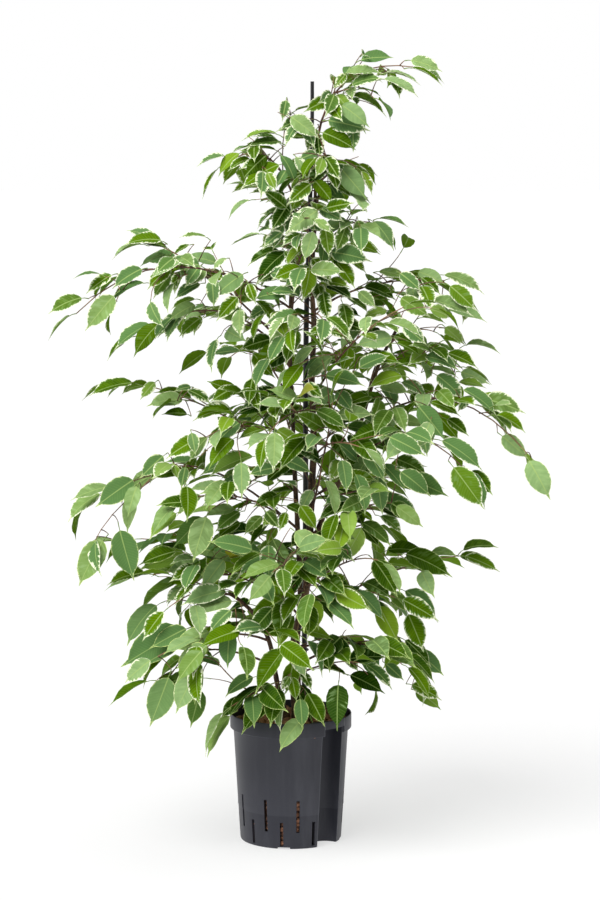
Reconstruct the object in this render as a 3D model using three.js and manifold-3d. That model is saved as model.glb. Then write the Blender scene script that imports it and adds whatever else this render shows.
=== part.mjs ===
// A variegated weeping fig in its round culture pot: three slender stems tied to a stake, arching leafy
// branches with drooping pointed leaves, and expanded-clay granules around the foot.
// Millimetres, +Z up. The origin is the middle of the flat underside of the pot; the front is -Y.

import * as THREE from 'three';
import { mergeVertices } from 'three/addons/utils/BufferGeometryUtils.js';
import Module from 'manifold-3d';

const wasm = await Module();
wasm.setup();

const CLEARANCE = 0.3; // left between pieces that touch on the real plant
const SEED = 2024;

// Culture pot, 18 cm across its rim
const POT = {
  height: 190,
  rimRadius: 90,
  collarHeight: 22,
  shoulderRadius: 85,
  baseRadius: 75,
  wall: 2.2,
  floor: 4,
  sides: 28,
};
const SLOT = { count: 20, width: 4.8, firstAzimuth: -64, low: [4, 40], high: [25, 73] };
const CHANNEL = { azimuth: 48, width: 43, innerRadius: 47, top: 178 };
const NOTCH = { count: 4, firstAzimuth: -8, width: 19, height: 3, innerRadius: 64 };

// Clay granules
const CLAY = { level: 176, pebbles: 22, smallest: 8, largest: 11 };

// Support stake and the wire ties that hold the stems to it
const STAKE = {
  radii: [4, 2.7], // lower part and top
  taperFrom: 770,
  sides: 8,
  route: [[22, 12, 30], [20, 12, 230], [22, 11, 520], [22, 11, 640], [23, 10, 770], [26, 9, 865],
    [31, 9, 1040], [31.5, 9, 1118]],
};
const TIE = { wire: 1.1, sides: 4, steps: 14 };
const TIES = [
  { name: 'tie_low', height: 282, stem: 'main' },
  { name: 'tie_middle', height: 830, stem: 'main' },
  { name: 'tie_top', height: 1034, stem: 'main' },
];

// Stems: points up the middle of each, with its thickness at foot and top
const STEM_SIDES = 6;
const STEMS = {
  main: {
    radii: [7.5, 1.9],
    route: [[10, 0, 118], [8, 0, 190], [5, 0, 285], [15, -8, 340], [25, -10, 395], [30, -8, 510],
      [34, -6, 595], [31, -6, 685], [34, -6, 760], [31, -6, 830], [35, -6, 905], [36, -6, 960],
      [39, -6, 1040]],
  },
  rear: {
    radii: [5, 1.8],
    route: [[12, 30, 120], [12, 30, 190], [9, 30, 280], [14, 28, 355], [12, 27, 425], [7, 26, 520],
      [3, 24, 625], [-1, 22, 720], [0, 18, 800], [5, 15, 875], [8, 12, 950]],
  },
  left: {
    radii: [4.8, 2.4],
    route: [[-6, -4, 122], [-10, -5, 190], [-20, -10, 235], [-32, -18, 300], [-56, -32, 345],
      [-90, -45, 378]],
  },
  bough: {
    radii: [4.2, 2.2],
    route: [[28, -9, 430], [55, 0, 500], [80, 10, 550], [105, 20, 625], [130, 25, 705], [158, 30, 760]],
  },
};

// Twigs and leaves
const SHOOT = { sides: 3, branchRoot: 2.9, twigRoot: 2, tip: 1.5, bareBranch: 0.34, bareTwig: 0.22 };
const LEAF = {
  spacing: 27, // between two leaves along a twig
  shortest: 44, // blade length at the top of the plant
  longest: 66, // blade length near the pot
  widthRatio: 0.5,
  widestAt: 0.33, // of the length from the base
  shoulderAt: 0.7,
  shoulderRatio: 0.66, // width there, to the widest
  thickness: 1.5, // through the midrib
  stalkRatio: 0.2, // stalk length to blade length
  stalkRise: 0.35, // how far the stalk lifts before the blade bends over
  stalkHalfWidth: 1.3,
  stalkRidge: 0.2,
  rootShare: 0.5, // thickness of the stalk where it leaves the twig, to that at the blade
  share: 0.22, // of the side leaves that are modelled
};
// How a leaf leaves its twig, as ranges that its draws fall in
const POSE = {
  sideways: [0.4, 0.8],
  endSideways: [-0.3, 0.3],
  forward: [0.55, 0.95],
  lift: [-0.2, 0.3],
  droop: [0.05, 0.5],
  roll: [-0.7, 0.7], // radians about its midrib
  size: [0.84, 1.1],
  arch: [0.3, 0.8], // radians from base to tip
  fold: [0.2, 0.42], // radians that each half is raised
};
const FACING = { outward: 0.22, light: 0.3, sky: 0.75 }; // what the upper side turns to
const TRIES = { branch: 24, twig: 12, leaf: 16 };
const ROOM = { shoot: 0.8, leaf: 0.45, ownLeaf: 0.2 }; // air kept round a shoot and a leaf
const STEM_SEAT = CLEARANCE + 0.05; // a branch ends this far off the facets of its stem
const PLANT_TOP = 1150;
const PLANT_FOOT = 250;
const AXIS = new THREE.Vector3(20, 5, 0);
const FRONT = new THREE.Vector3(0, -1, 0); // the side that grew towards the light

// Branches that the front shows: stem, height where the branch leaves it, a point on the way,
// its end, and the ends of its side twigs
const FRONT_BRANCHES = [
  ['rear', 940, [-35, -20, 1010], [-98, -30, 998],
    [[0, -35, 1070], [-50, -60, 1025], [-40, -90, 995], [-75, 30, 995]]],
  ['rear', 725, [-100, -40, 825], [-184, -60, 882], [[-112, 20, 868], [-160, -110, 838], [-155, 15, 848]]],
  ['main', 765, [-150, -105, 856], [-302, -140, 792],
    [[-195, -175, 815], [-252, -85, 795], [-95, -150, 850], [-70, -105, 800]]],
  ['rear', 700, [-100, 5, 784], [-226, 10, 748], [[-100, -60, 755], [-160, 70, 770], [-55, -70, 700]]],
  ['rear', 550, [-110, 35, 634], [-248, 40, 680], [[-165, -20, 655], [-160, 95, 655]]],
  ['main', 590, [-55, -80, 625], [-120, -130, 615], [[-130, -65, 580], [-70, -160, 590], [-70, -60, 665]]],
  ['rear', 460, [-125, -50, 560], [-215, -85, 536], [[-285, -95, 455], [-150, -130, 550], [-285, -50, 515]]],
  ['main', 450, [-60, -90, 520], [-150, -130, 525], [[-85, -155, 555], [-125, -85, 490]]],
  ['rear', 375, [-80, 50, 420], [-222, 35, 444], [[-150, 110, 450], [-95, 0, 460], [-180, -20, 458]]],
  ['main', 335, [-80, -40, 400], [-200, -55, 405], [[-130, -110, 430], [-145, 15, 375]]],
  ['left', 352, [-115, -75, 385], [-175, -100, 365], [[-155, 0, 345], [-140, -125, 375]]],
  ['left', 300, [-105, -105, 325], [-190, -140, 300], [[-125, -170, 305], [-160, -75, 315]]],
  ['left', 262, [-120, -35, 290], [-175, -45, 255], [[-130, -85, 250]]],
  ['main', 300, [-50, -120, 340], [-118, -185, 322], [[-70, -205, 330], [-20, -190, 330]]],
  ['left', 215, [-62, -62, 235], [-105, -85, 280], []],
  ['left', 228, [-45, -90, 240], [-85, -130, 225], [[-40, -135, 255]]],
  ['main', 225, [0, -70, 250], [-15, -120, 255], [[20, -125, 250]]],
  ['main', 440, [20, -95, 400], [5, -120, 300], [[15, -130, 435], [45, -140, 380]]],
  ['main', 1036, [85, -10, 1122], [180, -20, 1138],
    [[62, 35, 1124], [105, -50, 1150], [140, -65, 1128], [118, -85, 1094], [88, -50, 1060],
      [142, 45, 1136], [62, -60, 1100]]],
  ['main', 985, [65, -35, 1005], [95, -55, 995], [[45, -85, 1012]]],
  ['main', 880, [80, -25, 912], [122, -35, 914], [[100, -80, 912]]],
  ['main', 785, [120, 20, 822], [225, 30, 828], [[160, 0, 870], [185, -50, 826], [245, 85, 800]]],
  ['main', 655, [85, -120, 745], [160, -130, 800], [[200, -150, 800], [110, -170, 790]]],
  ['bough', 735, [178, 60, 752], [212, 70, 750], [[200, 105, 785]]],
  ['bough', 708, [190, -20, 718], [245, -30, 706], [[240, 20, 680], [215, -65, 745]]],
  ['bough', 605, [222, -60, 662], [345, -105, 582], [[285, -95, 648], [278, -50, 662], [200, -130, 640]]],
  ['bough', 555, [165, -80, 610], [245, -125, 572], [[218, -85, 596], [160, -150, 620]]],
  ['bough', 512, [110, 40, 518], [160, 65, 528], [[145, 115, 535]]],
  ['main', 455, [90, -60, 500], [145, -90, 515], [[120, -145, 540], [75, -120, 490]]],
  ['rear', 405, [85, 50, 455], [135, 60, 460], [[120, 115, 440]]],
  ['main', 378, [80, -100, 430], [125, -145, 440], [[75, -170, 460], [35, -160, 400]]],
  ['rear', 320, [140, 35, 390], [248, 35, 418], [[165, 75, 420], [190, -30, 410]]],
  ['main', 330, [90, -40, 373], [152, -60, 372], [[140, 5, 365]]],
  ['main', 285, [98, -80, 308], [160, -120, 285], [[115, -135, 320]]],
  ['rear', 255, [122, 45, 288], [192, 60, 245], [[162, 100, 262]]],
  ['main', 245, [60, -60, 275], [100, -85, 280], [[70, -120, 262], [120, -50, 242]]],
  ['main', 480, [50, -70, 590], [60, -125, 665], [[45, -125, 725], [90, -105, 705]]],
  ['main', 620, [15, -90, 640], [0, -160, 665], [[-30, -175, 625]]],
  ['main', 752, [35, -80, 785], [45, -145, 785], [[-5, -130, 765]]],
  ['main', 870, [25, -60, 905], [20, -110, 925], [[5, -80, 970]]],
  ['main', 400, [0, -115, 430], [-25, -190, 430], [[-45, -150, 450]]],
  ['main', 565, [65, -115, 610], [90, -190, 600], [[80, -215, 640], [130, -190, 625]]],
];

// Branches at the back: stem, height, compass direction (0 is right, 90 is straight back), reach, rise
const BACK_BRANCHES = [
  ['main', 915, 74, 105, 75],
  ['rear', 865, 104, 110, 70],
  ['rear', 760, 82, 205, 95],
  ['rear', 640, 118, 205, 70],
  ['bough', 640, 78, 190, 60],
  ['rear', 575, 96, 250, 40],
  ['rear', 480, 66, 245, 30],
  ['rear', 340, 112, 210, 40],
];

// Open air between the tiers, as the front shows it on the plane of the pot's axis: left, right, low, high
const OPEN_AIR = [
  [-145, 15, 1090, 1180], [-66, -25, 1073, 1098], [120, 275, 925, 1090], [-195, -20, 1045, 1075],
  [-200, -130, 1005, 1060], [-99, -76, 1029, 1051], [98, 123, 998, 1034], [51, 83, 1008, 1025],
  [-230, -100, 960, 1000], [-134, -101, 947, 987], [-335, -60, 905, 955], [-95, -55, 855, 955],
  [-95, -50, 912, 953], [170, 275, 855, 925], [-85, -46, 880, 909], [156, 186, 874, 906],
  [-295, -200, 860, 885], [315, 410, 665, 830], [-245, -170, 780, 815], [-252, -182, 784, 801],
  [-359, -304, 736, 778], [-135, -100, 752, 769], [204, 223, 740, 769], [263, 306, 738, 763],
  [-173, -134, 719, 743], [260, 315, 700, 725], [-173, -65, 689, 719], [-335, -125, 685, 715],
  [-101, -68, 643, 659], [-335, -205, 585, 650], [254, 281, 611, 643], [-145, -112, 611, 628],
  [-205, -145, 580, 625], [258, 312, 550, 610], [-275, -222, 562, 588], [-192, -145, 574, 585],
  [205, 245, 540, 585], [290, 338, 505, 565], [-204, -163, 513, 537], [-215, -160, 515, 535],
  [168, 227, 489, 507], [185, 275, 440, 495], [-235, -205, 465, 492], [-340, -300, 455, 490],
  [-304, -263, 450, 489], [-248, -207, 462, 477], [-340, -299, 440, 471], [154, 191, 443, 465],
  [80, 120, 380, 428], [164, 212, 373, 397], [165, 295, 375, 395], [-225, -185, 355, 390],
  [230, 415, 290, 380], [-355, -255, 270, 360], [-208, -167, 319, 346], [67, 117, 304, 340],
  [-155, -125, 316, 334], [220, 265, 215, 310], [-81, -49, 250, 298], [-105, -45, 232, 275],
  [-130, -87, 208, 262], [120, 170, 205, 262], [-125, -100, 200, 255], [129, 155, 220, 247],
  [29, 88, 212, 238], [107, 132, 183, 220], [-157, -124, 162, 202], [-165, -130, 140, 185],
];
const EYE = new THREE.Vector3(15, -4300, 1096); // where the front view is seen from

// A number from 0 to 1 that depends only on its keys, so each twig and leaf has draws of its own
function draw(...keys) {
  let state = SEED;
  for (const key of keys) {
    state = Math.imul(state ^ key, 0x9e3779b1);
    state ^= state >>> 15;
    state = Math.imul(state, 0x85ebca77);
    state ^= state >>> 13;
  }
  return (state >>> 0) / 4294967296;
}

function between(low, high, ...keys) {
  return low + (high - low) * draw(...keys);
}

function vec(point) {
  return new THREE.Vector3(...point);
}

// Meshes and solids

function signedVolume(points, triangles) {
  let six = 0;
  for (let i = 0; i < triangles.length; i += 3) {
    const [a, b, c] = [0, 1, 2].map((k) => new THREE.Vector3().fromArray(points, 3 * triangles[i + k]));
    six += a.dot(b.cross(c));
  }
  return six / 6;
}

// Turns a closed three.js geometry into a solid that can be joined and cut
function solidOf(geometry) {
  const bare = geometry.clone();
  bare.deleteAttribute('normal');
  bare.deleteAttribute('uv');
  const merged = mergeVertices(bare, 1e-4);
  const points = Float32Array.from(merged.attributes.position.array);
  const kept = [];
  for (let i = 0; i < merged.index.count; i += 3) {
    const [a, b, c] = [0, 1, 2].map((k) => merged.index.getX(i + k));
    if (a !== b && b !== c && c !== a) kept.push(a, b, c);
  }
  if (signedVolume(points, kept) < 0) kept.reverse();
  const mesh = new wasm.Mesh({
    numProp: 3,
    vertProperties: points,
    triVerts: Uint32Array.from(kept),
  });
  return new wasm.Manifold(mesh);
}

function geometryOf(solid) {
  const mesh = solid.getMesh();
  const geometry = new THREE.BufferGeometry();
  geometry.setAttribute('position', new THREE.BufferAttribute(mesh.vertProperties, 3));
  geometry.setIndex(new THREE.BufferAttribute(mesh.triVerts, 1));
  geometry.computeVertexNormals();
  return geometry;
}

function joined(solids) {
  return solids.reduce((sum, next) => sum.add(next));
}

// Drops loose scraps that a cut may leave: only the biggest body stays
function largestBody(solid) {
  const bodies = solid.decompose();
  return bodies.reduce((best, next) => (next.volume() > best.volume() ? next : best));
}

function indexedGeometry(points, triangles) {
  const geometry = new THREE.BufferGeometry();
  const flat = points.flatMap((point) => point.toArray());
  geometry.setAttribute('position', new THREE.Float32BufferAttribute(flat, 3));
  geometry.setIndex(triangles);
  return geometry;
}

// Faces between rings of equally many points; open runs get a fan at each end, closed ones join up
function ringSolid(rings, closed = false) {
  const sides = rings[0].length;
  const triangles = [];
  const last = closed ? rings.length : rings.length - 1;
  for (let i = 0; i < last; i += 1) {
    const here = i * sides;
    const next = ((i + 1) % rings.length) * sides;
    for (let k = 0; k < sides; k += 1) {
      const k2 = (k + 1) % sides;
      triangles.push(here + k, here + k2, next + k2, here + k, next + k2, next + k);
    }
  }
  if (!closed) {
    const end = (rings.length - 1) * sides;
    for (let k = 1; k < sides - 1; k += 1) {
      triangles.push(0, k + 1, k, end, end + k, end + k + 1);
    }
  }
  return solidOf(indexedGeometry(rings.flat(), triangles));
}

// The side and upward directions square to a tangent
function crossAxes(tangent) {
  const side = new THREE.Vector3().crossVectors(tangent, new THREE.Vector3(0, 0, 1));
  if (side.length() < 0.15) side.set(1, 0, 0);
  side.normalize();
  return [side, new THREE.Vector3().crossVectors(side, tangent).normalize()];
}

function ring(centre, [side, up], radius, sides) {
  const points = [];
  for (let k = 0; k < sides; k += 1) {
    const angle = (2 * Math.PI * k) / sides - Math.PI / 2;
    points.push(centre.clone().addScaledVector(side, radius * Math.cos(angle))
      .addScaledVector(up, radius * Math.sin(angle)));
  }
  return points;
}

// Stems: straight runs between hand-set points, thinning towards the top

function stemPointAt(name, height) {
  const route = STEMS[name].route;
  for (let i = 1; i < route.length; i += 1) {
    const [low, high] = [vec(route[i - 1]), vec(route[i])];
    if (height <= high.z || i === route.length - 1) {
      return low.lerp(high, (height - route[i - 1][2]) / (high.z - route[i - 1][2]));
    }
  }
  return vec(route[0]);
}

function tubeAlong(route, radiusAt, sides) {
  const points = route.map(vec);
  const reference = new THREE.Vector3(0, 1, 0);
  const rings = points.map((point, i) => {
    const before = points[Math.max(i - 1, 0)];
    const after = points[Math.min(i + 1, points.length - 1)];
    const tangent = after.clone().sub(before).normalize();
    const side = new THREE.Vector3().crossVectors(tangent, reference).normalize();
    const front = new THREE.Vector3().crossVectors(side, tangent);
    const radius = radiusAt(i / (points.length - 1));
    return Array.from({ length: sides }, (_, k) => {
      const angle = (2 * Math.PI * k) / sides;
      return point.clone().addScaledVector(side, radius * Math.cos(angle))
        .addScaledVector(front, radius * Math.sin(angle));
    });
  });
  return ringSolid(rings);
}

function stemRadiusAt(name, height) {
  const { radii, route } = STEMS[name];
  const share = (height - route[0][2]) / (route.at(-1)[2] - route[0][2]);
  return THREE.MathUtils.lerp(radii[0], radii[1], THREE.MathUtils.clamp(share, 0, 1));
}

function stemSolid(name, grow = 0) {
  const { radii, route } = STEMS[name];
  const radiusAt = (share) => THREE.MathUtils.lerp(radii[0], radii[1], share) + grow;
  return tubeAlong(route, radiusAt, STEM_SIDES);
}

function stakeRadiusAt(height) {
  const top = STAKE.route.at(-1)[2];
  const share = THREE.MathUtils.clamp((height - STAKE.taperFrom) / (top - STAKE.taperFrom), 0, 1);
  return THREE.MathUtils.lerp(STAKE.radii[0], STAKE.radii[1], share);
}

function stakeSolid(grow = 0) {
  const heights = STAKE.route.map((point) => point[2]);
  const radiusAt = (share) => stakeRadiusAt(heights[Math.round(share * (heights.length - 1))]) + grow;
  return tubeAlong(STAKE.route, radiusAt, STAKE.sides);
}

function stakePointAt(height) {
  const route = STAKE.route;
  const i = route.findIndex((point) => point[2] > height);
  const share = (height - route[i - 1][2]) / (route[i][2] - route[i - 1][2]);
  return vec(route[i - 1]).lerp(vec(route[i]), share);
}

// A wire loop drawn tight around the stake and one stem
function tieSolid({ height, stem }) {
  const loops = [
    { middle: stakePointAt(height), radius: stakeRadiusAt(height) },
    { middle: stemPointAt(stem, height), radius: stemRadiusAt(stem, height) },
  ];
  const rings = [];
  for (let i = 0; i < TIE.steps; i += 1) {
    const angle = (2 * Math.PI * i) / TIE.steps;
    const outward = new THREE.Vector3(Math.cos(angle), Math.sin(angle), 0);
    const reach = ({ middle, radius }) => middle.dot(outward) + radius;
    const held = loops.reduce((far, loop) => (reach(loop) > reach(far) ? loop : far));
    const snug = (held.radius + CLEARANCE + TIE.wire) / Math.cos(Math.PI / TIE.steps);
    const centre = held.middle.clone().addScaledVector(outward, snug);
    centre.z = height;
    rings.push(Array.from({ length: TIE.sides }, (_, k) => {
      const turn = (2 * Math.PI * k) / TIE.sides;
      return centre.clone().addScaledVector(outward, TIE.wire * Math.cos(turn))
        .add(new THREE.Vector3(0, 0, TIE.wire * Math.sin(turn)));
    }));
  }
  return ringSolid(rings, true);
}

// Pot

function latheSolid(profile) {
  const points = profile.map(([radius, height]) => new THREE.Vector2(radius, height));
  return solidOf(new THREE.LatheGeometry(points, POT.sides).rotateX(Math.PI / 2));
}

// Turns a shape whose +X points away from the axis to a compass angle measured from the front
function turned(geometry, azimuth) {
  return geometry.rotateZ(THREE.MathUtils.degToRad(azimuth - 90));
}

function wallRadiusAt(height) {
  const share = height / (POT.height - POT.collarHeight);
  return THREE.MathUtils.lerp(POT.baseRadius, POT.shoulderRadius, share);
}

function potOutside() {
  const shoulder = POT.height - POT.collarHeight;
  return latheSolid([
    [0, 0], [POT.baseRadius, 0], [POT.shoulderRadius, shoulder], [POT.rimRadius, shoulder],
    [POT.rimRadius, POT.height], [0, POT.height],
  ]);
}

// The room inside the pot; with a margin it is the body of granules that fills it
function potInside(top, margin = 0) {
  const shoulder = POT.height - POT.collarHeight;
  const inner = (radius) => radius - POT.wall - margin;
  return latheSolid([
    [0, POT.floor + margin], [inner(wallRadiusAt(POT.floor)), POT.floor + margin],
    [inner(POT.shoulderRadius), shoulder], [inner(POT.rimRadius), shoulder + 4],
    [inner(POT.rimRadius), top], [0, top],
  ]);
}

// The recess for the water gauge, rounded towards the middle of the pot
function gaugeChannel(grow, top) {
  const half = CHANNEL.width / 2 + grow;
  const middle = CHANNEL.innerRadius + CHANNEL.width / 2;
  const shape = new THREE.Shape();
  shape.moveTo(POT.rimRadius + 20, -half);
  shape.lineTo(POT.rimRadius + 20, half);
  shape.lineTo(middle, half);
  shape.absarc(middle, 0, half, Math.PI / 2, 1.5 * Math.PI, false);
  const depth = top + 10;
  const options = { depth, bevelEnabled: false, curveSegments: 8 };
  return solidOf(turned(new THREE.ExtrudeGeometry(shape, options).translate(0, 0, -10), CHANNEL.azimuth));
}

function wallSlots() {
  const slots = [];
  for (let i = 0; i < SLOT.count; i += 1) {
    const azimuth = SLOT.firstAzimuth + (360 / SLOT.count) * i;
    const inChannel = Math.abs(azimuth - CHANNEL.azimuth) < 20;
    if (!inChannel) {
      const [bottom, top] = i % 2 === 0 ? SLOT.high : SLOT.low;
      const box = new THREE.BoxGeometry(24, SLOT.width, top - bottom);
      slots.push(solidOf(turned(box.translate(POT.baseRadius + 2, 0, (top + bottom) / 2), azimuth)));
    }
  }
  return joined(slots);
}

function footNotches() {
  const notches = [];
  for (let i = 0; i < NOTCH.count; i += 1) {
    const box = new THREE.BoxGeometry(30, NOTCH.width, 2 * NOTCH.height);
    const azimuth = NOTCH.firstAzimuth + (360 / NOTCH.count) * i;
    notches.push(solidOf(turned(box.translate(NOTCH.innerRadius + 15, 0, 0), azimuth)));
  }
  return joined(notches);
}

function potSolid() {
  const room = potInside(POT.height + 5).subtract(gaugeChannel(POT.wall, CHANNEL.top + POT.wall));
  return potOutside()
    .subtract(gaugeChannel(0, CHANNEL.top))
    .subtract(room)
    .subtract(wallSlots())
    .subtract(footNotches());
}

// Clay granules: the filling of the pot, with rounded granules standing out of its top

function pebbleSolid(i) {
  const golden = Math.PI * (3 - Math.sqrt(5));
  const reach = (POT.rimRadius - POT.wall - CLAY.largest - 1) * Math.sqrt((i + 0.5) / CLAY.pebbles);
  const size = between(CLAY.smallest, CLAY.largest, 900, i);
  const pebble = new THREE.IcosahedronGeometry(size, 0);
  pebble.scale(1, between(0.8, 1.1, 901, i), between(0.7, 0.9, 902, i));
  pebble.rotateX(between(0, 3, 903, i)).rotateZ(between(0, 6, 904, i));
  const angle = golden * i;
  return solidOf(pebble.translate(reach * Math.cos(angle), reach * Math.sin(angle), CLAY.level));
}

function claySolid() {
  const pebbles = Array.from({ length: CLAY.pebbles }, (_, i) => pebbleSolid(i));
  const room = potInside(POT.height - 2, CLEARANCE);
  const channel = gaugeChannel(POT.wall + CLEARANCE, CHANNEL.top + POT.wall + CLEARANCE);
  const filling = potInside(CLAY.level, CLEARANCE).add(joined(pebbles).intersect(room));
  const holes = Object.keys(STEMS).filter((name) => name !== 'bough')
    .map((name) => stemSolid(name, CLEARANCE)).concat(stakeSolid(CLEARANCE));
  return largestBody(filling.subtract(channel).subtract(joined(holes)));
}

// Shoots: a branch or a twig is one smooth bend from its root over a control point to its end

function bezier({ root, control, end }, t) {
  const s = 1 - t;
  return root.clone().multiplyScalar(s * s).addScaledVector(control, 2 * s * t)
    .addScaledVector(end, t * t);
}

// A point on the straight runs that the shoot's tube is made of
function shootPoint(shoot, t) {
  const step = Math.min(Math.floor(t * shoot.segments), shoot.segments - 1);
  const low = bezier(shoot, step / shoot.segments);
  return low.lerp(bezier(shoot, (step + 1) / shoot.segments), t * shoot.segments - step);
}

function bezierTangent({ root, control, end }, t) {
  const first = control.clone().sub(root).multiplyScalar(1 - t);
  return first.addScaledVector(end.clone().sub(control), t).normalize();
}

function jitter(size, ...keys) {
  return new THREE.Vector3(...[0, 1, 2].map((axis) => between(-size, size, ...keys, axis)));
}

// A later try bends the same branch a little elsewhere
function branchShoot(id, { stem, height, middle, end }, attempt) {
  const root = stemPointAt(stem, height);
  const tip = end.clone();
  const through = middle.clone();
  if (attempt > 0) {
    through.add(jitter(0.07 * root.distanceTo(tip), id, 50, attempt));
    tip.add(jitter(0.05 * root.distanceTo(tip), id, 51, attempt));
  }
  const control = through.multiplyScalar(2).addScaledVector(root, -0.5).addScaledVector(tip, -0.5);
  const radii = [SHOOT.branchRoot, SHOOT.tip];
  return { id, root, control, end: tip, radii, bare: SHOOT.bareBranch, segments: 4 };
}

// A twig leaves its branch a little before the point of the branch nearest to its end
function twigShoot(id, branch, tipPoint, attempt) {
  let best = { cost: Infinity };
  for (let t = 0.25; t < 0.85; t += 0.05) {
    const from = shootPoint(branch, t);
    const towards = tipPoint.clone().sub(from);
    const forward = towards.dot(bezierTangent(branch, t)) / towards.length();
    const cost = towards.length() * (1.5 - forward);
    if (cost < best.cost) best = { cost, t, from };
  }
  const root = best.from;
  const span = root.distanceTo(tipPoint);
  const end = tipPoint.clone();
  const control = root.clone().lerp(end, 0.5).addScaledVector(bezierTangent(branch, best.t), 0.2 * span);
  control.z += 0.1 * span;
  if (attempt > 0) {
    control.add(jitter(0.12 * span, id, 52, attempt));
    end.add(jitter(0.08 * span, id, 53, attempt));
  }
  const radii = [SHOOT.twigRoot, SHOOT.tip];
  return { id, root, control, end, radii, bare: SHOOT.bareTwig, segments: 2 };
}

// All rings of a shoot face the same way, so the sides of its tube are flat
function shootRings(shoot, grow = 0, from = 0) {
  const axes = crossAxes(shoot.end.clone().sub(shoot.root).normalize());
  const rings = [];
  for (let i = 0; i <= shoot.segments; i += 1) {
    const t = from + ((1 - from) * i) / shoot.segments;
    const radius = THREE.MathUtils.lerp(shoot.radii[0], shoot.radii[1], t) + grow;
    rings.push(ring(bezier(shoot, t), axes, radius, SHOOT.sides));
  }
  return rings;
}

// Leaves

function leafCount(shoot) {
  const span = shoot.root.distanceTo(shoot.end) * (1 - shoot.bare);
  return Math.max(1, Math.round(span / LEAF.spacing));
}

// Where one leaf sits and how it hangs; slot numbers run from the root, the last one is the end leaf
function leafPose(shoot, slot, attempt) {
  const count = leafCount(shoot);
  const last = slot === count;
  const t = last ? 1 : shoot.bare + ((1 - shoot.bare) * (slot + 0.5)) / count - 0.02;
  const keys = [shoot.id, slot, attempt];
  const foot = shootPoint(shoot, t);
  const tangent = bezierTangent(shoot, t);
  const [side, up] = crossAxes(tangent);
  const hand = slot % 2 === 0 ? 1 : -1;
  const sideways = last ? between(...POSE.endSideways, ...keys, 1)
    : hand * between(...POSE.sideways, ...keys, 1);
  const forward = last ? 1 : between(...POSE.forward, ...keys, 2);
  const along = tangent.clone().multiplyScalar(forward).addScaledVector(side, sideways)
    .addScaledVector(up, between(...POSE.lift, ...keys, 3));
  along.z -= between(...POSE.droop, ...keys, 4);
  along.normalize();
  const outward = foot.clone().sub(AXIS).setZ(0).normalize();
  const facing = outward.multiplyScalar(FACING.outward);
  if (foot.y < AXIS.y) facing.addScaledVector(FRONT, FACING.light);
  facing.z += FACING.sky;
  facing.addScaledVector(along, -facing.dot(along)).normalize();
  facing.applyAxisAngle(along, between(...POSE.roll, ...keys, 5));
  const height = THREE.MathUtils.clamp((foot.z - PLANT_FOOT) / (PLANT_TOP - PLANT_FOOT), 0, 1);
  const usual = THREE.MathUtils.lerp(LEAF.longest, LEAF.shortest, height);
  return {
    foot,
    along,
    facing,
    length: usual * between(...POSE.size, shoot.id, slot, 6),
    arch: between(...POSE.arch, ...keys, 7),
    fold: between(...POSE.fold, ...keys, 8),
  };
}

// A point of the blade: u runs from its base to its tip, v across in millimetres, w through it
function bladePoint(leaf, u, v, w) {
  const bend = leaf.arch * u;
  const across = new THREE.Vector3().crossVectors(leaf.facing, leaf.along);
  const normal = leaf.facing.clone().multiplyScalar(Math.cos(bend))
    .addScaledVector(leaf.along, Math.sin(bend));
  const stalk = leaf.along.clone().addScaledVector(leaf.facing, LEAF.stalkRise).normalize();
  return leaf.foot.clone().addScaledVector(stalk, leaf.length * LEAF.stalkRatio)
    .addScaledVector(leaf.along, (leaf.length * Math.sin(bend)) / leaf.arch)
    .addScaledVector(leaf.facing, (-leaf.length * (1 - Math.cos(bend))) / leaf.arch)
    .addScaledVector(across, v * Math.cos(leaf.fold))
    .addScaledVector(normal, Math.abs(v) * Math.sin(leaf.fold) + w);
}

// Egg-shaped folded blade with a drawn-out tip: its base ring, two stations and the tip
function bladePoints(leaf, grow) {
  const half = LEAF.thickness / 2 + grow;
  const wide = (leaf.length * LEAF.widthRatio) / 2;
  const station = (u, width, thick) => [
    bladePoint(leaf, u, -width - grow, 0),
    bladePoint(leaf, u, 0, thick),
    bladePoint(leaf, u, width + grow, 0),
    bladePoint(leaf, u, 0, -thick),
  ];
  return [
    bladePoint(leaf, 0, 0, -half - LEAF.stalkRidge),
    bladePoint(leaf, 0, -LEAF.stalkHalfWidth - grow, LEAF.stalkRidge),
    bladePoint(leaf, 0, LEAF.stalkHalfWidth + grow, LEAF.stalkRidge),
    ...station(LEAF.widestAt, wide, half),
    ...station(LEAF.shoulderAt, wide * LEAF.shoulderRatio, half),
    bladePoint(leaf, 1 + grow / leaf.length, 0, 0),
  ];
}

const BLADE_TRIANGLES = [
  1, 4, 3, 1, 2, 4, 2, 5, 4,
  1, 3, 6, 1, 6, 0, 0, 6, 2, 6, 5, 2,
  3, 4, 8, 3, 8, 7, 4, 5, 9, 4, 9, 8, 5, 6, 10, 5, 10, 9, 6, 3, 7, 6, 7, 10,
  7, 8, 11, 8, 9, 11, 9, 10, 11, 10, 7, 11,
];

function centreOf(points) {
  return points.reduce((sum, point) => sum.add(point), new THREE.Vector3()).divideScalar(points.length);
}

// Which corner of the second ring lies nearest in line with the first corner of the first ring
function leastTwist(first, second) {
  const [firstCentre, secondCentre] = [centreOf(first), centreOf(second)];
  const match = (shift) => first.reduce((sum, point, k) => {
    const corner = second[(k + shift) % 3].clone().sub(secondCentre);
    return sum + point.clone().sub(firstCentre).dot(corner);
  }, 0);
  return [0, 1, 2].reduce((best, next) => (match(next) > match(best) ? next : best));
}

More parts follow.
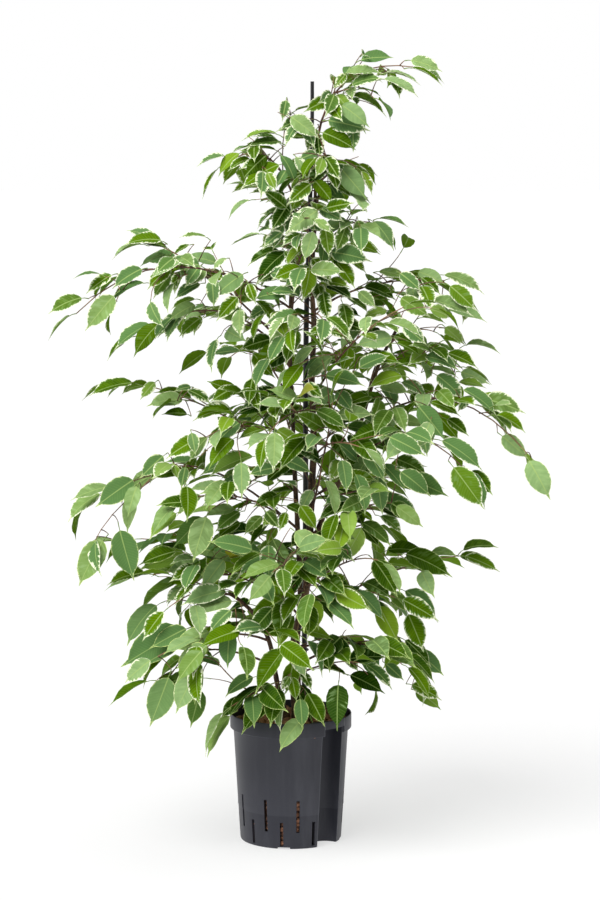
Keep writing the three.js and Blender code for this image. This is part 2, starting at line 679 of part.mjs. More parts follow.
// A blade that carries on from a three-sided tube, or from nothing when there are no rings
function bladeOnRings(rings, leaf, grow = 0) {
  const blade = bladePoints(leaf, grow);
  if (rings.length === 0) return solidOf(indexedGeometry(blade, [...BLADE_TRIANGLES, 1, 0, 2]));
  const first = rings.length * SHOOT.sides;
  const triangles = BLADE_TRIANGLES.map((i) => first + i);
  const shift = leastTwist(rings.at(-1), blade.slice(0, 3));
  const steps = [...rings.map((_, i) => [0, 1, 2].map((k) => i * SHOOT.sides + k)),
    [0, 1, 2].map((k) => first + ((k + shift) % 3))];
  for (let i = 1; i < steps.length; i += 1) {
    for (let k = 0; k < 3; k += 1) {
      const [a, b] = [steps[i - 1], steps[i]];
      triangles.push(a[k], a[(k + 1) % 3], b[(k + 1) % 3], a[k], b[(k + 1) % 3], b[k]);
    }
  }
  triangles.push(0, 2, 1);
  return solidOf(indexedGeometry([...rings.flat(), ...blade], triangles));
}

// True if the front view shows the leaf's tip, end or either edge in one of the open places
function hangsInOpenAir(leaf) {
  const edge = 0.18 * LEAF.longest;
  return [[1, 0], [0.8, 0], [0.4, -edge], [0.4, edge]].some(([u, v]) => {
    const point = bladePoint(leaf, u, v, 0).sub(EYE);
    const onPlane = point.multiplyScalar(-EYE.y / point.y).add(EYE);
    return OPEN_AIR.some(([left, right, low, high]) => onPlane.x > left && onPlane.x < right
      && onPlane.z > low && onPlane.z < high);
  });
}

// A side leaf: its stalk starts as a small ring inside the twig
function leafSolid(leaf, grow = 0) {
  const base = bladePoint(leaf, 0, 0, 0);
  const root = bladePoints(leaf, grow).slice(0, 3)
    .map((point) => leaf.foot.clone().addScaledVector(point.sub(base), LEAF.rootShare));
  return bladeOnRings([root], leaf, grow);
}

function bareBlade(leaf, grow = 0) {
  return bladeOnRings([], leaf, grow);
}

// A shoot's tube, which runs on into its end leaf where it has one
function shootSolid(shoot, { grow = 0, from = 0, endLeaf = null } = {}) {
  const rings = shootRings(shoot, grow, from);
  return endLeaf ? bladeOnRings(rings, endLeaf) : ringSolid(rings);
}

// Growing the plant: every shoot and leaf is tried in a few poses until it is clear of the others

const placed = []; // { owner, kind, solid, box } of all that stands so far

function place(owner, kind, solid) {
  placed.push({ owner, kind, solid, box: solid.boundingBox() });
}

function boxesMeet(a, b) {
  return [0, 1, 2].every((axis) => a.min[axis] <= b.max[axis] && b.min[axis] <= a.max[axis]);
}

function isClear(solid, keep) {
  const box = solid.boundingBox();
  return placed.every((other) => !keep(other) || !boxesMeet(box, other.box)
    || solid.intersect(other.solid).isEmpty());
}

function autoTwigEnds(id, branch) {
  const span = branch.root.distanceTo(branch.end);
  return [0.35, 0.55, 0.75].map((t, k) => {
    const [side, up] = crossAxes(bezierTangent(branch, t));
    const reach = span * between(0.3, 0.42, id, 60, k);
    return shootPoint(branch, t).addScaledVector(bezierTangent(branch, t), 0.65 * reach)
      .addScaledVector(side, (k % 2 === 0 ? 0.75 : -0.75) * reach)
      .addScaledVector(up, between(-0.1, 0.25, id, 61, k) * reach);
  });
}

function branchPlans() {
  const front = FRONT_BRANCHES.map(([stem, height, middle, end, twigs]) => (
    { stem, height, middle: vec(middle), end: vec(end), twigs: twigs.map(vec) }));
  const back = BACK_BRANCHES.map(([stem, height, compass, reach, rise]) => {
    const angle = THREE.MathUtils.degToRad(compass);
    const root = stemPointAt(stem, height);
    const away = new THREE.Vector3(Math.cos(angle), Math.sin(angle), 0);
    const middle = root.clone().addScaledVector(away, 0.5 * reach);
    middle.z += rise;
    const end = root.clone().addScaledVector(away, reach);
    end.z += 0.85 * rise;
    return { stem, height, middle, end, twigs: null };
  });
  return [...front, ...back];
}

function firstClear(make, keep, tries) {
  for (let attempt = 0; attempt < tries; attempt += 1) {
    const shoot = make(attempt);
    if (isClear(shootSolid(shoot, { grow: ROOM.shoot, from: 0.2 }), keep)) return shoot;
  }
  return null;
}

function growShoots(plans) {
  return plans.map((plan, index) => {
    const owner = `leafy_branch_${String(index + 1).padStart(2, '0')}`;
    const id = 100 * (index + 1);
    const others = (other) => other.owner !== owner;
    const branch = firstClear((attempt) => branchShoot(id, plan, attempt), others, TRIES.branch);
    if (!branch) throw new Error(`${owner} has no clear way`);
    place(owner, 'shoot', shootSolid(branch, { from: 0.1 }));
    const shoots = [branch];
    (plan.twigs ?? autoTwigEnds(id, branch)).forEach((tip, k) => {
      const twig = firstClear((attempt) => twigShoot(id + k + 1, branch, tip, attempt), others, TRIES.twig);
      if (twig) {
        place(owner, 'shoot', shootSolid(twig));
        shoots.push(twig);
      }
    });
    return { owner, shoots };
  });
}

function clearLeaf(owner, shoot, slot) {
  for (const strict of [true, false]) {
    for (let attempt = 0; attempt < TRIES.leaf; attempt += 1) {
      const leaf = leafPose(shoot, slot, attempt);
      if (hangsInOpenAir(leaf) && (strict || slot < leafCount(shoot))) continue;
      const roomy = leafSolid(leaf, ROOM.leaf);
      const free = isClear(roomy, (other) => other.owner !== owner)
        && (!strict || (isClear(roomy, (other) => other.owner === owner && other.kind === 'leaf')
          && isClear(bareBlade(leaf, ROOM.ownLeaf), (other) => other.owner === owner)));
      if (free) return leaf;
    }
  }
  return null;
}

// Each end leaf and a drawn share of the others; the rest of the foliage is finer detail
function isMainLeaf(shoot, slot) {
  return slot === leafCount(shoot) || draw(shoot.id, slot, 70) < LEAF.share;
}

function growLeaves(branches) {
  return branches.map(({ owner, shoots }) => {
    const parts = [];
    for (const shoot of shoots) {
      const count = leafCount(shoot);
      let endLeaf = null;
      for (let slot = count; slot >= 0; slot -= 1) {
        const leaf = isMainLeaf(shoot, slot) ? clearLeaf(owner, shoot, slot) : null;
        if (leaf) {
          place(owner, 'leaf', leafSolid(leaf));
          if (slot === count) endLeaf = leaf;
          else parts.push(leafSolid(leaf));
        }
      }
      parts.push(shootSolid(shoot, { endLeaf }));
    }
    return { owner, solid: joined(parts) };
  });
}

// Assembly

const COLOURS = {
  pot: { color: '#3c3d45', roughness: 0.5, metalness: 0 },
  clay: { color: '#8a5a44', roughness: 0.95, metalness: 0 },
  stake: { color: '#2b2a27', roughness: 0.8, metalness: 0 },
  wire: { color: '#191919', roughness: 0.5, metalness: 0 },
  bark: { color: '#6b5b4b', roughness: 0.85, metalness: 0 },
  leaf: { color: '#7d9468', roughness: 0.45, metalness: 0 },
};

function namedMesh(name, solid, colours) {
  const mesh = new THREE.Mesh(geometryOf(solid), new THREE.MeshStandardMaterial(colours));
  mesh.name = name;
  return mesh;
}

function buildPlant() {
  const group = new THREE.Group();
  const add = (name, solid, colours) => {
    place(name, 'core', solid);
    group.add(namedMesh(name, solid, colours));
  };
  add('pot', potSolid(), COLOURS.pot);
  add('clay_granules', claySolid(), COLOURS.clay);
  add('plant_stake', stakeSolid(), COLOURS.stake);
  for (const tie of TIES) add(tie.name, tieSolid(tie), COLOURS.wire);
  add('stem_main', stemSolid('main').add(stemSolid('bough')), COLOURS.bark);
  add('stem_rear', stemSolid('rear'), COLOURS.bark);
  add('stem_left', stemSolid('left'), COLOURS.bark);

  const stemRoom = joined(Object.keys(STEMS).map((name) => stemSolid(name, STEM_SEAT)));
  for (const { owner, solid } of growLeaves(growShoots(branchPlans()))) {
    group.add(namedMesh(owner, largestBody(solid.subtract(stemRoom)), COLOURS.leaf));
  }
  return group;
}

export default buildPlant();
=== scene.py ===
"""A variegated weeping fig in its culture pot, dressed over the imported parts.

The stems, twigs and leaves grow from the same measures and the same seeded draws as the part's source,
so each leafy branch here stands where its solid stands. Lengths are in millimetres while the plant
grows, and turn to metres when a mesh is made. The front is -Y and +Z is up.
"""

import logging
import math
from dataclasses import dataclass, field
from enum import Enum
from typing import Callable, Iterable, Optional, Sequence, Union

import bmesh
import bpy
from mathutils import Matrix, Vector, kdtree
from mathutils.bvhtree import BVHTree


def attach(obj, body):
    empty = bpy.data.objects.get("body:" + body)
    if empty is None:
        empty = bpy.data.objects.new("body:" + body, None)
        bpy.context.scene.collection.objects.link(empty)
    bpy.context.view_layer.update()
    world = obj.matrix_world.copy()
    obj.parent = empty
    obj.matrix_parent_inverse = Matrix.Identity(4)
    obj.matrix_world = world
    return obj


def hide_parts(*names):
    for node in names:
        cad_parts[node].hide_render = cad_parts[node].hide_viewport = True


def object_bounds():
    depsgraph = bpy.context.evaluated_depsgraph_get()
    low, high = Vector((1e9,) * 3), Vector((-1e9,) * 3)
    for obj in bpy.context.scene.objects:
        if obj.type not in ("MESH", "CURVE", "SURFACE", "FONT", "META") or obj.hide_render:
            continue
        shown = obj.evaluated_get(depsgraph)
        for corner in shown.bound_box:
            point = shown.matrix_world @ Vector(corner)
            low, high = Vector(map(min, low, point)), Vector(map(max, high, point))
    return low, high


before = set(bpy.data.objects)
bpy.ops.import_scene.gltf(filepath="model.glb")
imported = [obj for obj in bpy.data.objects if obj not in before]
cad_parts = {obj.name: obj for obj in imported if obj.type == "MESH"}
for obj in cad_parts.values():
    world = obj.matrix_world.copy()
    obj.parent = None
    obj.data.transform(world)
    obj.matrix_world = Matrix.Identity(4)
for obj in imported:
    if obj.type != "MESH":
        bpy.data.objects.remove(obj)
CAD_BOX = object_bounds()

LOG = logging.getLogger("weeping_fig")
MM = 0.001
SEED = 2024
FRONT = Vector((0, -1, 0))
AXIS = Vector((20, 5, 0))
PLANT_FOOT, PLANT_TOP = 250, 1150
TRIES = {"branch": 24, "twig": 12, "leaf": 16, "filling": 12}

Point = tuple[float, float, float]
Colour = tuple[float, float, float, float]
Shape = bmesh.types.BMesh


# Draws that repeat from run to run


def draw(*keys: int) -> float:
    """A number from 0 to 1 that depends only on its keys.

    Args:
        keys: whole numbers that name the draw.

    Returns:
        The number.
    """
    state = SEED
    for key in keys:
        state = ((state ^ key) * 0x9E3779B1) & 0xFFFFFFFF
        state ^= state >> 15
        state = (state * 0x85EBCA77) & 0xFFFFFFFF
        state ^= state >> 13
    return state / 4294967296


def between(low: float, high: float, *keys: int) -> float:
    """A number from low to high that depends only on its keys."""
    return low + (high - low) * draw(*keys)


def jitter(size: float, *keys: int) -> Vector:
    """A small shove of at most size along each axis."""
    return Vector([between(-size, size, *keys, axis) for axis in range(3)])


def lerp(low: float, high: float, share: float) -> float:
    """The value that lies share of the way from low to high."""
    return low + (high - low) * share


def clamp(share: float) -> float:
    """The share, held between 0 and 1."""
    return min(max(share, 0), 1)


def crown_share(height: float) -> float:
    """How far up the crown a height lies, from 0 at its foot to 1 at its top."""
    return clamp((height - PLANT_FOOT) / (PLANT_TOP - PLANT_FOOT))


# Meshes and objects


def mesh_of(name: str, bm: Shape) -> bpy.types.Mesh:
    """Turns a shape into a mesh.

    Args:
        name: the mesh's name.
        bm: the shape, which is freed.

    Returns:
        The mesh.
    """
    mesh = bpy.data.meshes.new(name)
    bm.to_mesh(mesh)
    bm.free()
    return mesh


def stand(name: str, data: bpy.types.ID) -> bpy.types.Object:
    """Sets an object in the scene.

    Args:
        name: the object's name.
        data: its mesh, light or camera.

    Returns:
        The object.
    """
    thing = bpy.data.objects.new(name, data)
    bpy.context.scene.collection.objects.link(thing)
    return thing


# Material nodes written as sums


Operand = Union["Signal", float, Sequence[float]]


class Signal:
    """A value or colour on its way through a material; arithmetic on it adds the nodes that work it out."""

    def __init__(self, graph: "Graph", socket: bpy.types.NodeSocket) -> None:
        """Wraps a node's output socket."""
        self.graph = graph
        self.socket = socket

    def math(self, operation: str, *others: Operand, flip: bool = False) -> "Signal":
        """Feeds this value and others to one Math node.

        Args:
            operation: the Math node's operation.
            others: further operands, values or signals.
            flip: puts this value second instead of first.

        Returns:
            The node's result.
        """
        terms = [self, *others]
        if flip:
            terms = [*others, self]
        node = self.graph.node("ShaderNodeMath", {"operation": operation}, dict(enumerate(terms)))
        return Signal(self.graph, node.outputs[0])

    def __add__(self, other: Operand) -> "Signal":
        """Sum."""
        return self.math("ADD", other)

    __radd__ = __add__

    def __sub__(self, other: Operand) -> "Signal":
        """Difference."""
        return self.math("SUBTRACT", other)

    def __rsub__(self, other: Operand) -> "Signal":
        """Difference from a plain number."""
        return self.math("SUBTRACT", other, flip=True)

    def __mul__(self, other: Operand) -> "Signal":
        """Product."""
        return self.math("MULTIPLY", other)

    __rmul__ = __mul__

    def __abs__(self) -> "Signal":
        """Size without sign."""
        return self.math("ABSOLUTE")

    def fade(
        self, low: float, high: float, start: float = 0.0, end: float = 1.0, kind: str = "LINEAR"
    ) -> "Signal":
        """Runs from start at low to end at high, and stops at both.

        Args:
            low: where the change starts.
            high: where the change ends.
            start: the result up to low.
            end: the result from high on.
            kind: the form of the line between them.

        Returns:
            The value on the line.
        """
        inputs = {"Value": self, "From Min": low, "From Max": high, "To Min": start, "To Max": end}
        node = self.graph.node("ShaderNodeMapRange", {"interpolation_type": kind, "clamp": True}, inputs)
        return Signal(self.graph, node.outputs["Result"])

    def step(self, low: float, high: float) -> "Signal":
        """Rises smoothly from 0 at low to 1 at high."""
        return self.fade(low, high, kind="SMOOTHSTEP")


class Graph:
    """The nodes of one material."""

    def __init__(self, name: str) -> None:
        """Starts an empty material.

        Args:
            name: the material's name.
        """
        self.material = bpy.data.materials.new(name)
        self.material.use_nodes = True
        self.tree = self.material.node_tree
        self.tree.nodes.clear()

    def node(
        self, kind: str, settings: Optional[dict] = None, inputs: Optional[dict] = None
    ) -> bpy.types.Node:
        """Adds one node.

        Args:
            kind: the node's type.
            settings: its own properties.
            inputs: what goes into its sockets, by name or number: signals are linked, values are set.

        Returns:
            The new node.
        """
        node = self.tree.nodes.new(kind)
        for key, value in (settings or {}).items():
            setattr(node, key, value)
        for key, value in (inputs or {}).items():
            if isinstance(value, Signal):
                self.tree.links.new(value.socket, node.inputs[key])
            else:
                node.inputs[key].default_value = value
        return node

    def out(self, node: bpy.types.Node, name: Union[str, int] = 0) -> Signal:
        """One of a node's outputs."""
        return Signal(self, node.outputs[name])

    def attribute(self, name: str) -> Signal:
        """A number that the mesh carries under that name."""
        return self.out(self.node("ShaderNodeAttribute", {"attribute_name": name}), "Fac")

    def place(self) -> Signal:
        """Where a point lies on the plant, in metres."""
        return self.out(self.node("ShaderNodeTexCoord"), "Object")

    def parts(self, vector: Signal) -> tuple[Signal, Signal, Signal]:
        """The three numbers of a vector."""
        node = self.node("ShaderNodeSeparateXYZ", None, {0: vector})
        return self.out(node, 0), self.out(node, 1), self.out(node, 2)

    def vector(self, x: Operand, y: Operand, z: Operand) -> Signal:
        """A vector from three numbers."""
        return self.out(self.node("ShaderNodeCombineXYZ", None, {0: x, 1: y, 2: z}))

    def scaled(self, vector: Signal, factors: Sequence[float]) -> Signal:
        """A vector stretched along each axis."""
        node = self.node("ShaderNodeVectorMath", {"operation": "MULTIPLY"}, {0: vector, 1: factors})
        return self.out(node)

    def noise(self, vector: Signal, scale: float, detail: float = 2.0, rough: float = 0.5) -> Signal:
        """Cloudy noise from 0 to 1."""
        inputs = {"Vector": vector, "Scale": scale, "Detail": detail, "Roughness": rough}
        return self.out(self.node("ShaderNodeTexNoise", None, inputs), 0)

    def cells(self, vector: Signal, scale: float) -> Signal:
        """Distance within a pattern of cells."""
        node = self.node("ShaderNodeTexVoronoi", None, {"Vector": vector, "Scale": scale})
        return self.out(node, "Distance")

    def blend(self, factor: Operand, first: Union[Signal, Colour], second: Union[Signal, Colour]) -> Signal:
        """Goes from the first colour to the second as factor goes from 0 to 1."""
        settings = {"data_type": "RGBA", "clamp_factor": True}
        return self.out(self.node("ShaderNodeMix", settings, {0: factor, 6: first, 7: second}), 2)

    def ridges(self, position: Signal, count: float) -> Signal:
        """Thin ridges, count of them to each unit of position."""
        share = (position * count).math("FRACT")
        return 1.0 - abs(share - 0.5).step(0.0, 0.16)

    def bump(self, height: Signal, distance: float, strength: float = 1.0) -> Signal:
        """A raised surface, distance in metres where height is 1."""
        inputs = {"Height": height, "Distance": distance, "Strength": strength}
        return self.out(self.node("ShaderNodeBump", None, inputs))

    def finish(self, **inputs: Operand) -> bpy.types.Material:
        """Closes the material with one Principled shader.

        Args:
            inputs: the shader's sockets, with underscores for spaces.

        Returns:
            The material.
        """
        named = {key.replace("_", " "): value for key, value in inputs.items()}
        shader = self.node("ShaderNodeBsdfPrincipled", None, named)
        self.node("ShaderNodeOutputMaterial", None, {0: self.out(shader)})
        return self.material


# Finishes


@dataclass(frozen=True)
class LeafFinish:
    """Waxy leaf, green in patches that follow the side veins, with a jagged cream margin; painted shade
    darkens leaves deep in the crown and a painted sheen pales outer ones.
    """

    deep: Colour = (0.012, 0.050, 0.001, 1)
    middle: Colour = (0.104, 0.210, 0.001, 1)
    # Sage grey-green: partly the leaf's own tone, partly a painted sheen of reflected light.
    sage_tone_and_sheen: Colour = (0.115, 0.235, 0.078, 1)
    grey: Colour = (0.24, 0.39, 0.15, 1)
    fresh: Colour = (0.27, 0.43, 0.030, 1)
    # Pale grey-green: partly the leaf's own tone, partly a painted sheen of reflected light on outer leaves.
    pale: Colour = (0.37, 0.54, 0.22, 1)
    cream: Colour = (0.86, 0.90, 0.64, 1)
    lime: Colour = (0.58, 0.70, 0.24, 1)
    rib: Colour = (0.36, 0.50, 0.16, 1)
    under: Colour = (0.13, 0.245, 0.010, 1)
    aged: Colour = (0.33, 0.31, 0.02, 1)
    gloss: float = 0.05
    gloss_tint: Colour = (0.78, 1.0, 0.25, 1)
    vein_count: float = 23.0
    vein_slant: float = 0.62
    broadest_margin: float = 11.0
    rib_widths: tuple[float, float] = (0.0095, 0.0045)

    def material(self) -> bpy.types.Material:
        """Builds the leaf material, which reads the leaf's own map and attributes.

        Returns:
            The material.
        """
        g = Graph("variegated_leaf")
        across, along, _ = g.parts(g.out(g.node("ShaderNodeUVMap", {"uv_map": "blade"})))
        leaf, under, inset, cream = (g.attribute(name) for name in ("leaf", "under", "inset", "cream"))
        offset = abs(across - 0.5)
        vein = along - offset * self.vein_slant
        own = leaf * 40.0 + (across - 0.5).math("SIGN") * 3.0
        streaks = g.noise(g.vector(vein * 14.0, offset * 4.0, own), 1.0, 3.0, 0.6)
        jagged = g.noise(g.vector(vein * 26.0, offset * 5.0, own + 9.0), 1.0, 3.0, 0.65)

        width = cream * (jagged.fade(0.42, 0.70) * self.broadest_margin) + cream.fade(0.0, 0.06, 0.0, 0.34)
        edge = (width - inset).step(-0.10, 0.26)
        halo = (width + 2.2 - inset).step(-0.6, 1.2) * cream.fade(0.0, 0.5, 0.0, 0.5)
        patch = streaks.step(0.55, 0.62) * (offset * 100.0 + 9.0 - inset).step(-6.0, 9.0)
        margin = g.blend(cream.step(0.12, 0.26), self.lime, self.cream)
        side = g.ridges(vein, self.vein_count)
        rib = (along.fade(0.0, 0.6, *self.rib_widths) - offset).step(-0.0025, 0.0015)

        green = g.blend(halo, self.green(g, leaf, streaks, patch), self.grey)
        above = g.blend(edge, green, margin)
        above = g.blend(side * 0.13, above, self.rib)
        above = g.blend(rib * 0.75, above, self.rib)
        below = g.blend(edge * 0.75, self.under, margin)
        below = g.blend(rib * 0.6, below, self.rib)
        surface = g.blend(g.attribute("age"), g.blend(under, above, below), self.aged)

        relief = g.noise(g.vector(across * 60.0, along * 60.0, own), 1.0, 2.0) * 0.25 - side * 0.5 - rib * 0.6
        cloudy = g.noise(g.vector(across * 9.0, along * 9.0, own), 1.0, 2.0)
        return g.finish(
            Base_Color=surface,
            Roughness=cloudy.fade(0.3, 0.7, 0.30, 0.44) + under * 0.2,
            Normal=g.bump(relief, 0.00018, 0.7),
            Specular_IOR_Level=self.gloss,
            Specular_Tint=self.gloss_tint,
        )

    def green(self, g: Graph, leaf: Signal, streaks: Signal, patch: Signal) -> Signal:
        """The green of a blade's upper side: darker, cooler, paler or fresher from leaf to leaf, with painted
        shade on leaves deep in the crown and a painted sheen of sage and pale grey-green on outer ones.

        Args:
            g: the material's nodes.
            leaf: the leaf's own number.
            streaks: cloudy streaks along the side veins.
            patch: where grey-green patches may lie.

        Returns:
            The colour without its margin and veins.
        """
        # outer: how far out in the crown the leaf hangs, which drives the painted shade and painted sheen
        # below.
        outer = g.attribute("outer")
        dice = g.node("ShaderNodeTexWhiteNoise", {"noise_dimensions": "1D"}, {"W": leaf * 977.0})
        one, two, three = g.parts(g.out(dice, "Color"))
        # Painted shade: leaves deep in the crown lean towards the deep green.
        shade = (streaks - 0.5) * 0.7 + one * 0.65 + outer * 0.55 - 0.15
        # Painted sheen: sage and pale grey-green, given most to leaves at the outside of the crown.
        sage_and_sheen_share = (three * 0.75 + outer * 0.35).step(0.72, 0.84)
        paleness_and_sheen = (two * 0.72 + outer * 0.42).step(0.78, 1.04)
        green = g.blend(shade.step(0.05, 0.95), self.deep, self.middle)
        green = g.blend(patch * two.step(0.3, 0.9) * 0.7, green, self.grey)
        green = g.blend(sage_and_sheen_share * 0.85, green, self.sage_tone_and_sheen)
        green = g.blend(paleness_and_sheen * streaks.fade(0.3, 0.7, 0.45, 0.85), green, self.pale)
        return g.blend(one.step(0.88, 0.97) * 0.6, green, self.fresh)


@dataclass(frozen=True)
class BarkFinish:
    """Thin brown bark with pale pores, green and smooth where the shoot is young."""

    dark: Colour = (0.022, 0.009, 0.004, 1)
    brown: Colour = (0.105, 0.052, 0.026, 1)
    pale: Colour = (0.28, 0.17, 0.10, 1)
    young: Colour = (0.21, 0.115, 0.055, 1)

    def material(self, name: str) -> bpy.types.Material:
        """Builds the bark material, which lightens with the attribute "youth".

        Args:
            name: the material's name.

        Returns:
            The material.
        """
        g = Graph(name)
        place = g.place()
        youth = g.attribute("youth")
        long_grain = g.noise(g.scaled(place, (260, 260, 45)), 1.0, 4.0, 0.6)
        patches = g.noise(g.scaled(place, (38, 38, 16)), 1.0, 3.0)
        pores = g.cells(g.scaled(place, (300, 300, 420)), 1.0).step(0.42, 0.22)
        colour = g.blend(long_grain.step(0.36, 0.62), self.dark, self.brown)
        colour = g.blend(patches.step(0.54, 0.70) * 0.55, colour, self.pale)
        colour = g.blend(pores * 0.30 * (1.0 - youth), colour, self.pale)
        colour = g.blend(youth.step(0.45, 1.0), colour, self.young)
        relief = long_grain * 0.7 + pores * 0.3
        return g.finish(
            Base_Color=colour,
            Roughness=youth.fade(0.0, 1.0, 0.78, 0.5),
            Normal=g.bump(relief, 0.0006, 0.8),
        )


@dataclass(frozen=True)
class PotFinish:
    """Moulded anthracite plastic, dusted dry with lime and soil, with a painted highlight along the edges of
    the gauge recess.
    """

    plastic: Colour = (0.031, 0.032, 0.042, 1)
    # The pale colour of the dusting, also used for the painted highlight along the recess edges.
    bloom_and_highlight: Colour = (0.095, 0.097, 0.114, 1)
    gloss: float = 0.22
    foot_line: float = 50

    def material(self, pot: "CulturePot") -> bpy.types.Material:
        """Builds the pot's material, with a painted highlight along the outer edges of the recess, and darker
        near the foot.

        Args:
            pot: the pot, for the places of its recess and wall.

        Returns:
            The material.
        """
        g = Graph("anthracite_plastic")
        place = g.place()
        x, y, z = g.parts(place)
        turn = math.radians(pot.recess_at)
        across, away = x * math.cos(turn) + y * math.sin(turn), x * math.sin(turn) - y * math.cos(turn)
        half, flare = pot.recess_width / 2, (pot.shoulder - pot.base) / (pot.height - pot.collar)
        corner = math.sqrt(pot.base ** 2 - half ** 2)
        # Painted highlight: lip and edge mark a thin pale line along the outer edges of the gauge recess.
        lip = (away - z * flare).step((corner - 1.15) * MM, (corner - 0.35) * MM)
        edge = lip - abs(abs(across) - half * MM).step(0.4 * MM, 1.2 * MM) * lip
        foot = z.step((self.foot_line - 0.6) * MM, (self.foot_line + 0.6) * MM)
        streak = g.noise(g.scaled(place, (34, 34, 5)), 1.0, 4.0, 0.6)
        fine = g.noise(place, 420.0, 3.0)
        low = z.fade(0.0, 0.12, 0.25, 0.0)
        # This mask mixes the real dusting and streaks with the painted highlight along the recess edges.
        dust_and_highlight = streak.step(0.42, 0.78) * 0.30 + low * streak + fine * 0.10 + edge * 1.3 + foot * 0.18 - 0.09
        colour = g.blend(dust_and_highlight, self.plastic, self.bloom_and_highlight)
        return g.finish(
            Base_Color=colour,
            Roughness=streak.fade(0.3, 0.7, 0.34, 0.46) + fine * 0.04,
            Normal=g.bump(fine, 0.00006, 0.5),
            Specular_IOR_Level=self.gloss,
        )


@dataclass(frozen=True)
class ClayFinish:
    """Fired clay granule: reddish brown skin, pitted, with darker damp ones between."""

    dark: Colour = (0.085, 0.040, 0.024, 1)
    fired: Colour = (0.40, 0.185, 0.105, 1)
    chalk: Colour = (0.55, 0.36, 0.25, 1)

    def material(self) -> bpy.types.Material:
        """Builds the granules' material; each granule carries a number of its own.

        Returns:
            The material.
        """
        g = Graph("fired_clay")
        place = g.place()
        own = g.attribute("granule")
        mottled = g.noise(place, 190.0, 4.0, 0.65)
        pits = g.cells(place, 640.0).step(0.45, 0.12)
        tone = own * 0.62 + mottled * 0.5
        colour = g.blend(tone.step(0.18, 0.66), self.dark, self.fired)
        colour = g.blend(tone.step(0.72, 1.0) * 0.7, colour, self.chalk)
        colour = g.blend(pits * 0.6, colour, self.dark)
        relief = mottled * 0.6 - pits * 0.8
        return g.finish(Base_Color=colour, Roughness=0.93, Normal=g.bump(relief, 0.0007, 0.9))


@dataclass(frozen=True)
class PlainFinish:
    """A drawn or coated finish: one colour with light scuffs."""

    name: str
    colour: Colour
    scuff: Colour
    roughness: float
    grain: tuple[float, float, float] = (300, 300, 60)

    def material(self) -> bpy.types.Material:
        """Builds the material.

        Returns:
            The material.
        """
        g = Graph(self.name)
        marks = g.noise(g.scaled(g.place(), self.grain), 1.0, 4.0, 0.6)
        colour = g.blend(marks.step(0.46, 0.72) * 0.6, self.colour, self.scuff)
        rough = marks.fade(0.3, 0.7, self.roughness - 0.06, self.roughness + 0.08)
        return g.finish(Base_Color=colour, Roughness=rough, Normal=g.bump(marks, 0.00025, 0.6))


class Slot(Enum):
    """The record's material slots."""

    POT = "pot"
    CLAY = "clay"
    STAKE = "stake"
    WIRE = "wire"
    BARK = "bark"
    FOLIAGE = "foliage"


class Workshop:
    """Makes every finish once and sets finished pieces in place."""

    def __init__(self, pot: "CulturePot") -> None:
        """Builds the finishes.

        Args:
            pot: the pot, for the places where its plastic is worn.
        """
        self.leaf = LeafFinish().material()
        self.bark = BarkFinish().material("old_bark")
        self.twig = BarkFinish(
            dark=(0.035, 0.014, 0.008, 1), brown=(0.16, 0.068, 0.036, 1), young=(0.30, 0.155, 0.075, 1),
        ).material("twig_bark")
        self.pot = PotFinish().material(pot)
        self.clay = ClayFinish().material()
        self.stake = PlainFinish(
            "coated_stake", (0.012, 0.012, 0.016, 1), (0.05, 0.05, 0.058, 1), 0.42,
        ).material()
        self.wire = PlainFinish(
            "coated_wire", (0.008, 0.010, 0.008, 1), (0.03, 0.035, 0.03, 1), 0.38,
        ).material()
        self.pieces: list[bpy.types.Object] = []

    def deliver(
        self, name: str, bm: Shape, finishes: Sequence[bpy.types.Material], slot: Slot, *nodes: str
    ) -> None:
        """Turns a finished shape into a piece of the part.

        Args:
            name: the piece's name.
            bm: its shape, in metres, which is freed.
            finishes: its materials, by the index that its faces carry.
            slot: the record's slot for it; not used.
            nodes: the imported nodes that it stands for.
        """
        mesh = mesh_of(name, bm)
        for finish in finishes:
            mesh.materials.append(finish)
        piece = stand(name, mesh)
        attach(piece, "root")
        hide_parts(*nodes)
        self.pieces.append(piece)
        LOG.info("%s: %d faces for %s", name, len(mesh.polygons), ", ".join(nodes))


# Stamps: small patterns that are laid many times along a route or on a leaf


class Stamp:
    """A small mesh that is laid again and again into a shape, bent by a rule each time."""

    def __init__(self, name: str, bm: Shape) -> None:
        """Keeps the pattern as a mesh.

        Args:
            name: the pattern's name.
            bm: its shape, which is freed.
        """
        for face in bm.faces:
            face.smooth = True
        self.mesh = mesh_of(name, bm)

    def lay(self, bm: Shape, bend: Callable[[Vector], Vector], index: int = 0) -> tuple[list, dict]:
        """Adds the pattern to a shape.

        Args:
            bm: the shape to add to.
            bend: gives each point's place, in millimetres, from its place in the pattern.
            index: the finish of its faces.

        Returns:
            The new faces, and for each new point its place in the pattern.
        """
        first_point, first_face = len(bm.verts), len(bm.faces)
        bm.from_mesh(self.mesh)
        bm.verts.ensure_lookup_table()
        bm.faces.ensure_lookup_table()
        points, faces = bm.verts[first_point:], bm.faces[first_face:]
        flat = {point: point.co.copy() for point in points}
        for face in faces:
            face.material_index = index
        for point in points:
            point.co = bend(flat[point]) * MM
        return faces, flat


